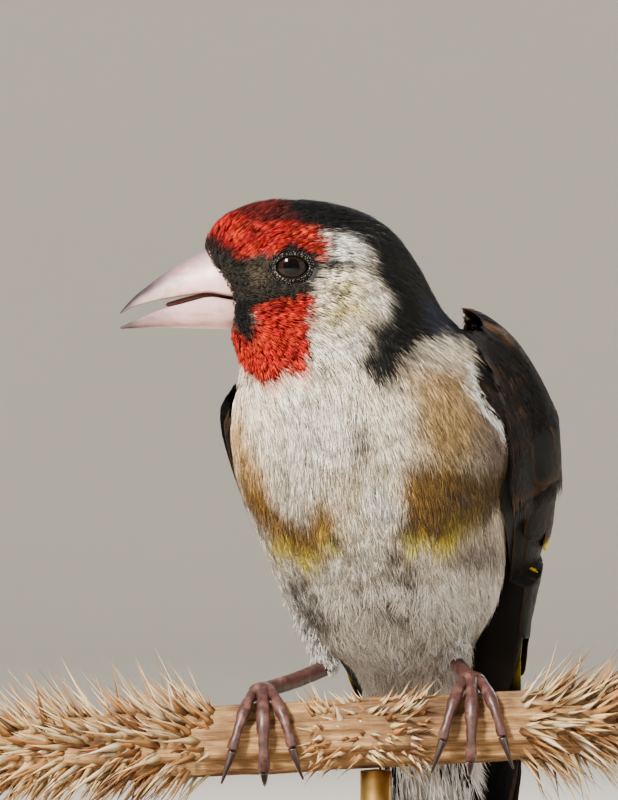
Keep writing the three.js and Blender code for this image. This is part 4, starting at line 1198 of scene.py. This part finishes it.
# The tongue lies hidden between them, narrow and horny.
tongue_line = [(x, -9, EDGE_BELOW(x) + 0.3) for x in (-12.0, -15.0, -18.0, -21.0)]
tongue = limb(
    "tongue_flesh", tongue_line, lambda t, a: (1.1 - 0.6 * t) * np.sqrt(np.cos(a) ** 2 + 0.02), 20, 30
)
paint(tongue, lambda co: plain(rgb(84, 42, 36), len(co)))
placed(tongue, painted_material("tongue_flesh", 0.4, fine=3000.0), "tongue", "tongue")


# The feet: bare dark reddish brown legs with a row of broad scutes down the front, and four toes each, three
# round the front of the stem and one behind, ringed by scutes. The claws are smooth, dark and curved.
TOES = {
    "inner": (9.5, 17, 0.7, 0.68), "middle": (12.0, 1, 0.0, 0.75), "outer": (9.5, -17, -0.7, 0.68),
    "hind": (7.6, 0, 0.0, 0.8)
}
CLAWS = {"inner": 3.8, "middle": 4.2, "outer": 3.8, "hind": 5.0}


def wrap(foot_x, toe, start, end, lift, thick):
    """Knots of a path round the stem at a foot, to the front or, for the hind toe, to the back."""
    length, splay, side_start, _ = TOES[toe]
    inward = 1 if foot_x < 3 else -1
    gone = np.linspace(start, end, 9)
    across = side_start * inward + gone * math.sin(math.radians(splay)) * inward
    away = PERCH_RADIUS + 0.3 + 0.06 + thick
    turned_by = gone * math.cos(math.radians(splay)) / (PERCH_RADIUS + 0.3 + thick)
    angle = math.pi / 2 + turned_by * (-1 if toe == "hind" else 1)
    away = away + lift * np.linspace(0, 1, 9) ** 2
    return (
        perch_axis(foot_x + across) + np.stack([across * 0, away * np.cos(angle), away * np.sin(angle)], -1)
    )


def leg_colours(co):
    base = plain(rgb(70, 40, 36), len(co))
    base = over(base, rgb(124, 86, 78), np.clip(noise(co, 0.9, 61) * 0.9, 0, 0.55))
    return over(base, rgb(40, 22, 22), np.clip(-noise(co, 0.5, 62) * 1.1, 0, 0.7))


leg_skin = painted_material(
    "leg_scutes", 0.45, fine=4200.0, contrast=0.25, Coat_Weight=0.15, Coat_Roughness=0.3
)
claw_horn = painted_material(
    "claw_horn", 0.28, fine=3000.0, contrast=0.12, Coat_Weight=0.4, Coat_Roughness=0.15
)
for side in ("right", "left"):
    foot_x = FEET[side]
    ankle = ANKLES[side]
    pad = perch_axis(foot_x) + (0, 0.3, PERCH_RADIUS + 1.3)
    shank = [ankle + (0, 0.2, 0.4), (ankle + pad) / 2 + (0, 0.5, 0), pad]

    def scuted(thick, count, ends):
        """A radius with raised scutes over the outer half and small pads under it."""

        def radius(t, angle):
            step = (t * count) % 1
            plate = np.clip(np.sin(angle) + 0.35, 0, 1) ** 0.5
            ridge = 0.06 * (step ** 0.6 - 0.5) * plate * (1 - np.clip((step - 0.9) / 0.1, 0, 1))
            cushion = 0.05 * np.cos(t * count * math.pi) * np.clip(-np.sin(angle), 0, 1)
            knuckle = 0.13 * np.cos(t * math.pi * 4)
            return thick * (1.1 - ends * t + ridge + cushion + knuckle * (ends > 0.1))

        return radius

    leg = limb("leg_" + side + "_shank", shank, scuted(0.84, 9, 0.0), 32, 120, (0, -1, 0.3))
    placed(paint(leg, leg_colours), leg_skin, "leg_scales", "leg_" + side)
    bm = bmesh.new()
    bmesh.ops.create_uvsphere(bm, u_segments=40, v_segments=30, radius=1)
    ball_at = np.array([v.co for v in bm.verts])
    for v, co in zip(
        bm.verts, metres(pad + ball_at * (1.6, 1.7, 1.0) * (1 + 0.05 * noise(ball_at, 0.3, 66))[:, None])
    ):
        v.co = co
    placed(paint(finished("foot_" + side + "_pad", bm), leg_colours), leg_skin, "leg_scales")
    for toe, (length, splay, start, thick) in TOES.items():
        line = wrap(foot_x, toe, 0, length, 0, thick)
        piece = limb("toe_%s_%s" % (side, toe), line, scuted(thick, length * 1.15, 0.28), 30, 120, (1, 0, 0))
        placed(paint(piece, leg_colours), leg_skin, "leg_scales")
        tip_line = wrap(foot_x, toe, length - 0.3, length + 0.35 + CLAWS[toe], 0.5, 0.5)
        piece = limb(
            "claw_%s_%s_horn" % (side, toe), tip_line, lambda t, a: 0.58 * (1 - 0.8 * t ** 0.8), 24, 60,
            (1, 0, 0)
        )
        paint(piece, lambda co: rgb(58, 44, 42) * (0.8 + 0.5 * noise(co, 0.7, 64)[:, None] ** 2))
        placed(piece, claw_horn, "claw", "claw_%s_%s" % (side, toe))


# Coat of the thighs: short pale tufts that point down the leg and end in a loose cuff at the ankle.
for side in ("left", "right"):
    line = thigh_line(side)
    n = 850
    t = dice.uniform(0.0, 0.97, n)
    angle = dice.uniform(0, 2 * math.pi, n)
    centre = curve_through(line, t)
    way = unit(curve_through(line, np.clip(t + 0.02, 0, 1)) - curve_through(line, np.clip(t - 0.02, 0, 1)))
    across = unit(np.cross(way, (0, 1, 0)))
    top = np.cross(across, way)
    out = across * np.cos(angle)[:, None] + top * np.sin(angle)[:, None]
    thick = 3.1 - 2.05 * t ** 0.8
    root = centre + out * (thick - 0.15)[:, None]
    s = np.linspace(0, 1, 4)
    long = dice.uniform(1.6, 3.0, n) * (1 - 0.35 * t)
    drift = unit(way + 0.22 * dice.normal(size=(n, 3)))
    paths, tints = [], []
    for barb in range(4):
        lean = dice.normal(0, 0.16, (n, 3))
        path = root[:, None] + (unit(drift + lean) * long[:, None])[:, None] * s[None, :, None]
        path = path + out[:, None] * (0.55 * s - 0.75 * s ** 2)[None, :, None]
        paths.append(path)
        base = plain(WHITE * 0.9, n)
        base = over(base, DOWN, np.clip(noise(root, 1.1, 71 + barb) * 1.2, 0, 0.7))
        tints.append(base[:, None] * np.array([0.4, 0.7, 0.95, 1.0])[None, :, None])
    widths = np.full((4 * n, 1), 0.13) * np.array([0.9, 1, 0.7])
    where = np.tile(np.stack([angle / (2 * math.pi), t * 0.04], -1), (4, 1))
    tufts = blades(
        "coat_thigh_" + side, np.concatenate(paths), widths, 0.3, np.concatenate(tints), where,
        np.tile(out, (4, 1))
    )
    placed(tufts, plume, "plumage_body")


# The wings, folded: glossy black flight feathers with a golden yellow bar and white tips, under black
# coverts. Each feather is a thin vane with a shaft, laid in rows over the folded arm.
VANE = 0.34
WINGS = {"left": (1, -16.5, 0, 1.12), "right": (-1, -16.5, 8.5, 0.75)}
EDGE_DROP = profile([(-20, -0.04), (-15, -0.10), (-9, -0.2), (0, -0.16), (8, -0.06), (14, 0)])
WING_DEPTH = profile([(-20, 2), (-15, 4.4), (-6, 6.2), (4, 5.8), (16, 4.4), (28, 3.4), (44, 2.4), (62, 1.3)])
WRAP_WIDTH = profile([(-20, 8), (-10, 15), (5, 19), (20, 18), (34, 13), (46, 8), (62, 5.5)])


def smoothstep(x, a, b):
    x = np.clip((np.asarray(x, float) - a) / np.maximum(np.asarray(b, float) - a, 1e-6), 0, 1)
    return x * x * (3 - 2 * x)


def on_wing(wing, along, across, out):
    """A point of the wing: along the body, across from the lower edge to the upper, and out from the rest."""
    side, _, turned_by, _ = WINGS[wing]
    axis = on_body(0, along, 1 + (-0.7 - 1) * smoothstep(along, 25, 50))
    low = LOWER_EDGE(along) + turned_by
    angle = np.radians(low + (UPPER_EDGE(along) - low) * across)
    direction = LEFTWARD * (side * np.cos(angle))[:, None] + DORSAL * np.sin(angle)[:, None]
    return axis + direction * reach(rest_field, axis, direction, out, 34)[:, None]


def arm_top(wing, along, across):
    held = np.clip(across, 0, 1)
    depth = WING_DEPTH(along) * WINGS[wing][3] * (1 + (0.45 - 1) * held)
    rounded = 0.5 + 0.5 * np.sqrt(np.maximum(0, 1 - (2 * held - 1) ** 2))
    edge = np.where(along < 14, EDGE_DROP(along) - 0.03, -0.4)
    return 0.4 + 0.84 * depth * rounded * (0.12 + 0.88 * smoothstep(across, edge, edge + 0.3) ** 0.6)


def vane_rows(wing):
    """Each feather: (row, from, to, across at base and tip, width, layer)."""
    tip = WINGS[wing][1] + 79
    rows = []
    for i in range(7):
        s = i / 6
        rows.append(
            (
                "primary", 16, tip - (0, 1.0, 3.2, 6.2, 9.6, 13.2, 17)[i], 0.2 + 0.36 * s, 0.34 + 0.4 * s,
                4.6 + s, -0.5 + 0.22 * i
            )
        )
    for i in range(6):
        s = i / 5
        rows.append(("secondary", 2, 33 - 5 * s, 0.2 + 0.52 * s, 0.34 + 0.46 * s, 5.8, -0.1 + 0.19 * i))
    for i in range(3):
        s = i / 2
        rows.append(
            ("tertial", -4, 36 - 12 * s, 0.7 + 0.24 * s, 0.86 + 0.12 * s, 7 - 1.4 * s, 0.75 + 0.32 * i)
        )
    for i in range(6):
        rows.append(
            ("primary covert", -3, 24 - 2.4 * i, 0.04 + 0.055 * i, 0.08 + 0.06 * i, 3.0, -0.3 + 0.1 * i)
        )
    for i in range(3):
        rows.append(
            (
                "alula", -11 if wing == "left" else -6, 9 - 4 * i, 0.04 + 0.06 * i, 0.08 + 0.07 * i, 3.0,
                0.4 + 0.13 * i
            )
        )
    for i in range(8):
        s = i / 7
        rows.append(
            (
                "greater", -8 if wing == "left" else -6, 13 - 5 * s, 0.2 + 0.68 * s, 0.26 + 0.66 * s, 5.2,
                0.5 + 0.13 * i
            )
        )
    front = -14.5 if wing == "left" else -7
    for i in range(9):
        s = i / 8
        rows.append(("median", front, 1.5 - 3 * s, -0.06 + 0.9 * s, 0.0 + 0.88 * s, 4.4, 0.95 + 0.12 * i))
    return rows


def vane_outline(y, rounded):
    """Half width of a vane along it, from its narrow base to its rounded tip."""
    base = 0.45 + 0.55 * np.sqrt(np.clip(y / 0.35, 0, 1))
    start = 1 - rounded
    tip = np.sqrt(np.clip(1 - (np.clip(y - start, 0, None) / rounded) ** 2, 0, 1))
    return base * tip


def vanes(name, rows, place, colour, finish, slot, replaced, across_cells=10, along_cells=32, rounded=0.12):
    """Feather vanes as one mesh of thin closed grids. place(row, x, y, up) gives their points in mm."""
    bm = bmesh.new()
    uv = bm.loops.layers.uv.new("vane")
    tint = []
    for number, row in enumerate(rows):
        one = bmesh.new()
        bmesh.ops.create_grid(one, x_segments=across_cells, y_segments=along_cells, size=0.5)
        flat = np.array([v.co for v in one.verts])
        layer = one.loops.layers.uv.new("vane")
        for face in one.faces:
            for loop in face.loops:
                loop[layer].uv = (loop.vert.co.x + 0.5, loop.vert.co.y + 0.5)
        y = flat[:, 1] + 0.5
        bow = np.sqrt(np.clip(1 - (2 * flat[:, 0]) ** 2, 0, 1))
        x = flat[:, 0] * row[5] * vane_outline(y, rounded)
        shaft = 0.05 * np.exp(-((flat[:, 0] / 0.035) ** 2)) * (1 - 0.6 * y)
        barbed = 0.02 * np.sin(y * 150 + np.abs(flat[:, 0]) * 24 + number)
        moved = place(row, x, y, 0.12 * bow + shaft + barbed)
        for v, co in zip(one.verts, metres(moved)):
            v.co = co
        tint.append(colour(row, flat[:, 0], y, moved))
        mesh = bpy.data.meshes.new("one")
        one.to_mesh(mesh)
        one.free()
        bm.from_mesh(mesh)
        bpy.data.meshes.remove(mesh)
    made = finished(name, bm)
    colours = np.ones((len(made.data.vertices), 4), np.float32)
    colours[:, :3] = np.clip(np.concatenate(tint), 0.001, 1)
    made.data.color_attributes.new("plumage", "FLOAT_COLOR", "POINT")
    made.data.color_attributes["plumage"].data.foreach_set("color", colours.ravel())
    thick = made.modifiers.new("thickness", "SOLIDIFY")
    thick.thickness = 0.00011
    thick.offset = -1
    return placed(made, finish, slot, *replaced)


def wing_colour(wing):
    def colour(row, x, y, points):
        kind, start, end = row[:3]
        along = start + (end - start) * y
        n = len(x)
        result = plain(BLACK * 0.8, n)
        if kind == "primary":
            bar = smoothstep(along, 15, 17) * (1 - smoothstep(along, 30, 33)) * (x < 0.28)
            result = over(result, YELLOW, bar)
            result = over(result, WHITE, smoothstep(y, 0.955, 0.975))
        elif kind in ("secondary", "tertial"):
            if kind == "secondary":
                result = over(result, YELLOW, smoothstep(along, 12, 14.5) * (1 - smoothstep(along, 22, 24)))
            result = over(result, WHITE, smoothstep(y, 0.88, 0.93) * (np.abs(x) < 0.36))
        elif kind == "greater":
            result = over(result, YELLOW, smoothstep(y, 0.86, 0.92))
        elif kind == "median":
            result = over(result, MANTLE * 0.7, 0.4 * smoothstep(y, 0.85, 1.0))
        edge = smoothstep(np.abs(x), 0.4, 0.5)
        result = over(result, MANTLE * 0.6, 0.5 * edge)
        return result * (0.85 + 0.3 * noise(points, 0.8, 81)[:, None] ** 2)

    return colour


flight, tree, shader = material("flight_vane", 0.5, Specular_IOR_Level=0.14)
own = node(tree, "VertexColor", layer_name="plumage").outputs["Color"]
split = node(tree, "SeparateXYZ")
tree.links.new(node(tree, "UVMap", uv_map="vane").outputs["UV"], split.inputs["Vector"])
off = calculated(tree, "ABSOLUTE", calculated(tree, "SUBTRACT", split.outputs["X"], 0.5))
slant = calculated(tree, "MULTIPLY_ADD", off, -0.35, split.outputs["Y"])
wave = calculated(tree, "SINE", calculated(tree, "MULTIPLY", slant, 560.0))
streak_at = node(tree, "CombineXYZ")
tree.links.new(calculated(tree, "MULTIPLY", slant, 70.0), streak_at.inputs["X"])
tree.links.new(off, streak_at.inputs["Y"])
streaks = node(tree, "TexNoise", Scale=1.6, Detail=6.0, Roughness=0.7)
tree.links.new(streak_at.outputs["Vector"], streaks.inputs["Vector"])
barb_shades = ramp(
    tree, calculated(tree, "MULTIPLY_ADD", wave, 0.5, 0.5), (0.0, grey(0.72)), (1.0, grey(1.1))
)
streak_shades = ramp(tree, streaks.outputs["Fac"], (0.35, grey(0.55)), (0.65, grey(1.25)))
lined = multiplied(tree, own, barb_shades)
tree.links.new(multiplied(tree, lined, streak_shades), shader.inputs["Base Color"])
bump(tree, shader, streaks.outputs["Fac"], 0.7, 0.00025)

for wing in ("left", "right"):

    def wing_place(row, x, y, up):
        kind, start, end, base, tip, width, layer = row
        along = start + (end - start) * y
        across = base + (tip - base) * y + x / WRAP_WIDTH(along)
        raised = (-VANE - 0.4) + (layer + VANE + 0.4) * smoothstep(y, 0, 0.6)
        return on_wing(wing, along, across, arm_top(wing, along, across) + raised + up)

    vanes(
        "wing_%s_vanes" % wing, vane_rows(wing), wing_place, wing_colour(wing), flight, "flight_feathers",
        ["wing_" + wing]
    )

    def arm_shape(t, angle):
        begin = WINGS[wing][1] + (0 if wing == "left" else 8.5)
        along = begin + (41.5 - begin) * t
        width = np.sqrt(1 - (1 - np.minimum(t / 0.16, 1)) ** 2) * np.sqrt(1 - t ** 5)
        low_edge = EDGE_DROP(along)
        across = (1 + low_edge) / 2 + (1 - low_edge) / 2 * width * np.cos(angle)
        depth = WING_DEPTH(along) * WINGS[wing][3] * 0.76 * (1 - 0.55 * across) * (0.25 + 0.75 * width)
        under_feathers = np.maximum(arm_top(wing, along, across) - 1.0, 0.1)
        return on_wing(
            wing, along, across, 0.4 + np.minimum(depth * (0.5 + 0.5 * np.sin(angle)), under_feathers)
        )

    # Its lesser coverts are small, soft and hair-like, so they are tufts laid along the folded arm.
    n = 2700 if wing == "left" else 1300
    begin = (-19.0 if wing == "left" else -9.0)
    a = dice.uniform(begin, 1.0, n)
    c = EDGE_DROP(a) + (1.02 - EDGE_DROP(a)) * dice.random(n)
    long = dice.uniform(2.6, 4.2, n)
    paths, tints = [], []
    base = on_wing(wing, a, c, arm_top(wing, a, c))
    tone = over(plain(BLACK * 1.2, n), MANTLE * 0.75, np.clip(noise(base, 0.9, 83) * 1.4 - 0.3, 0, 0.7))
    tone = over(tone, MANTLE, np.clip((c - 0.75) * 4, 0, 0.8) * np.clip((-11 - a) / 3, 0, 1))
    for barb in range(4):
        lean = (barb - 1.5) / 1.5 + dice.normal(0, 0.3, n)
        points = []
        for t in (0.0, 0.5, 1.0):
            place_along = a + long * t
            place_across = c + (0.16 + 0.35 * t) * lean / WRAP_WIDTH(a)
            height = (
                arm_top(wing, place_along, place_across) + 0.98 + 0.95 * np.clip(c, 0, 1)
                + (-0.45, 0.12, 0.2)[int(2 * t)]
            )
            points.append(on_wing(wing, place_along, place_across, height))
        paths.append(np.stack(points, 1))
        tints.append(
            tone[:, None] * (1 + dice.normal(0, 0.25, (n, 1, 1))) * np.array([0.4, 0.9, 1.2])[None, :, None]
        )
    paths = np.concatenate(paths)
    outward = unit(np.tile(base - on_body(0, a, 0), (4, 1)))
    widths = np.full((4 * n, 1), 0.17) * np.array([1, 0.85])
    where = np.tile(np.stack([(a + 20) / 80, np.clip(c, 0, 1)], -1), (4, 1))
    tufts = blades(
        "wing_%s_coverts" % wing, paths, widths, 0.3, np.clip(np.concatenate(tints), 0.001, 1), where,
        outward
    )
    placed(tufts, plume, "flight_feathers")

    arm = tube("wing_%s_arm" % wing, 60, 80, arm_shape)
    placed(paint(arm, lambda co: plain(BLACK * 0.7, len(co))), skin.data.materials[0], "flight_feathers")


# The tail: twelve black feathers with white tips, spread a little, on a root covered by pale coverts.
def tail_place(row, x, y, up):
    place, tip, lift = row[1], row[2], row[3]
    along = 36 + (tip - 36) * y
    centre = (0.5 + 0.8 * y) * place
    return on_body(centre + x * (0.62 + 0.38 * y), along, -2.7 + lift + 0.25 + up)


def tail_colour(row, x, y, points):
    outer = abs(row[1])
    result = plain(BLACK * 0.8, len(x))
    if outer > 3.4:
        result = over(
            result, WHITE, smoothstep(y, 0.45, 0.55) * (1 - smoothstep(y, 0.8, 0.86)) * (x * row[1] < 0)
        )
    result = over(result, WHITE, smoothstep(y, 0.93, 0.96))
    return result * (0.85 + 0.3 * noise(points, 0.8, 82)[:, None] ** 2)


tail_rows = []
for i in range(12):
    place = i - 5.5
    outer = abs(place)
    tail_rows.append(("tail", place, 71.4 + 0.48 * outer, 1.5 - 0.34 * outer - 0.01 * place, None, 6.4, 0))
tail_rows.sort(key=lambda row: -abs(row[1]))
vanes("tail_vanes", tail_rows, tail_place, tail_colour, flight, "flight_feathers", ["tail"], rounded=0.1)


def tail_root(t, angle):
    along = 29 + 19 * t
    spread = np.sqrt(np.clip(1 - t ** 4, 0, 1))
    half_wide = (6.2 - 0.9 * t) * spread
    half_high = 5.0 + (1.0 - 5.0) * smoothstep(t, 0, 0.7)
    return on_body(
        half_wide * np.cos(angle), along,
        0.4 - 3.1 * smoothstep(t, 0, 1) + half_high * spread * np.sin(angle)
    )


root_piece = tube("tail_root", 60, 50, tail_root)
placed(paint(root_piece, lambda co: plain(GREY_WHITE * 0.5, len(co))), skin.data.materials[0], "plumage_body")


def small_feathers(name, roots, ways, normals, length, width, colour, seed, barbs=5):
    """Loose tufts over the tail's root, which isn't part of the body's own surface."""
    dice = np.random.default_rng(seed)
    n = len(roots)
    t = np.linspace(0, 1, 4)
    side = unit(np.cross(normals, ways))
    paths, tints = [], []
    for b in range(barbs):
        lean = (b - (barbs - 1) / 2) / barbs * 2 + dice.normal(0, 0.2, n)
        long = length * dice.uniform(0.75, 1.15, n)
        path = (
            roots[:, None]
            + (unit(ways + side * (0.3 * lean)[:, None]) * long[:, None])[:, None] * t[None, :, None]
        )
        path = path + normals[:, None] * (-0.25 + 0.75 * t - 0.35 * t ** 2)[None, :, None]
        paths.append(path)
        tints.append(
            colour[:, None] * (1 + dice.normal(0, 0.1, (n, 1, 1)))
            * np.array([0.45, 0.75, 1.0, 1.0])[None, :, None]
        )
    widths = np.full((barbs * n, 1), width) * np.array([0.9, 1, 0.7])
    where = np.tile(np.stack([np.linspace(0.1, 0.9, n), np.full(n, 0.02)], -1), (barbs, 1))
    made = blades(
        name, np.concatenate(paths), widths, 0.3, np.clip(np.concatenate(tints), 0.001, 1), where,
        np.tile(normals, (barbs, 1))
    )
    return placed(made, plume, "plumage_body")


n = 1300
t = dice.uniform(0, 0.9, n)
angle = dice.uniform(0, 2 * math.pi, n)
at = tail_root(t, angle)
normal = unit(at - tail_root(t, angle + math.pi))
way = plain(TAILWARD, n)
tone = over(plain(WHITE * 0.95, n), DOWN, np.clip(noise(at, 1.5, 91), 0, 0.5))
small_feathers(
    "tail_coverts", at, unit(way + dice.normal(0, 0.12, (n, 3))), normal, 4.8, 0.2, tone, 92, barbs=4
)


# The light and the view: a small warm light from the upper left front, a weak fill from the right and a rim
# behind, over a plain pale floor that rises all round. The camera looks level through a long lens.
FLOOR_FLAT, FLOOR_RISE, FLOOR_TOP = 1.9, 1.1, 2.6
sweep = [(1e-4, 0.0)]
for i in range(25):
    turn = math.pi / 2 * i / 24
    sweep.append((FLOOR_FLAT + FLOOR_RISE * math.sin(turn), FLOOR_RISE - FLOOR_RISE * math.cos(turn)))
sweep.append((FLOOR_FLAT + FLOOR_RISE, FLOOR_TOP))
floor = turned("floor", sweep, 128)
floor_paint, tree, shader = material("floor", 0.9)
mottle = grained(tree, Scale=3.0, Detail=2.0)
floor_tones = ramp(tree, mottle, (0.3, linear(243, 238, 228)), (0.7, linear(246, 241, 232)))
tree.links.new(floor_tones, shader.inputs["Base Color"])
floor.data.materials.append(floor_paint)

FRAME_CENTRE = Vector((-0.00466, -0.009, 0.0791))
FRAME_HEIGHT = 0.0909
DISTANCE = 1.1
camera_data = bpy.data.cameras.new("camera")
camera_data.sensor_fit = "VERTICAL"
camera_data.sensor_height = 24
camera_data.lens = 24 * DISTANCE / FRAME_HEIGHT
camera = bpy.data.objects.new("camera", camera_data)
camera.location = FRAME_CENTRE + Vector((0, -DISTANCE, 0))
camera.rotation_euler = (math.radians(90), 0, 0)
bpy.context.scene.collection.objects.link(camera)
bpy.context.scene.camera = camera


def area_light(name, at, target, size, power, colour):
    data = bpy.data.lights.new(name, "AREA")
    data.size = size
    data.energy = power
    data.color = colour
    lamp = bpy.data.objects.new(name, data)
    lamp.location = at
    lamp.rotation_euler = (Vector(target) - Vector(at)).to_track_quat("-Z", "Y").to_euler()
    bpy.context.scene.collection.objects.link(lamp)


target = (-0.002, -0.004, 0.08)
area_light("key", (-0.4, -0.68, 0.6), target, 0.16, 27.5, (1.0, 0.94, 0.85))
area_light("fill", (0.7, -0.6, 0.25), target, 0.5, 1.2, (0.9, 0.95, 1.0))
area_light("rim", (0.3, 0.7, 0.5), target, 0.5, 4.0, (1.0, 1.0, 1.0))
world = bpy.data.worlds.new("studio")
world.use_nodes = True
world.node_tree.nodes["Background"].inputs["Color"].default_value = (0.88, 0.88, 0.88, 1)
world.node_tree.nodes["Background"].inputs["Strength"].default_value = 0.5
bpy.context.scene.world = world
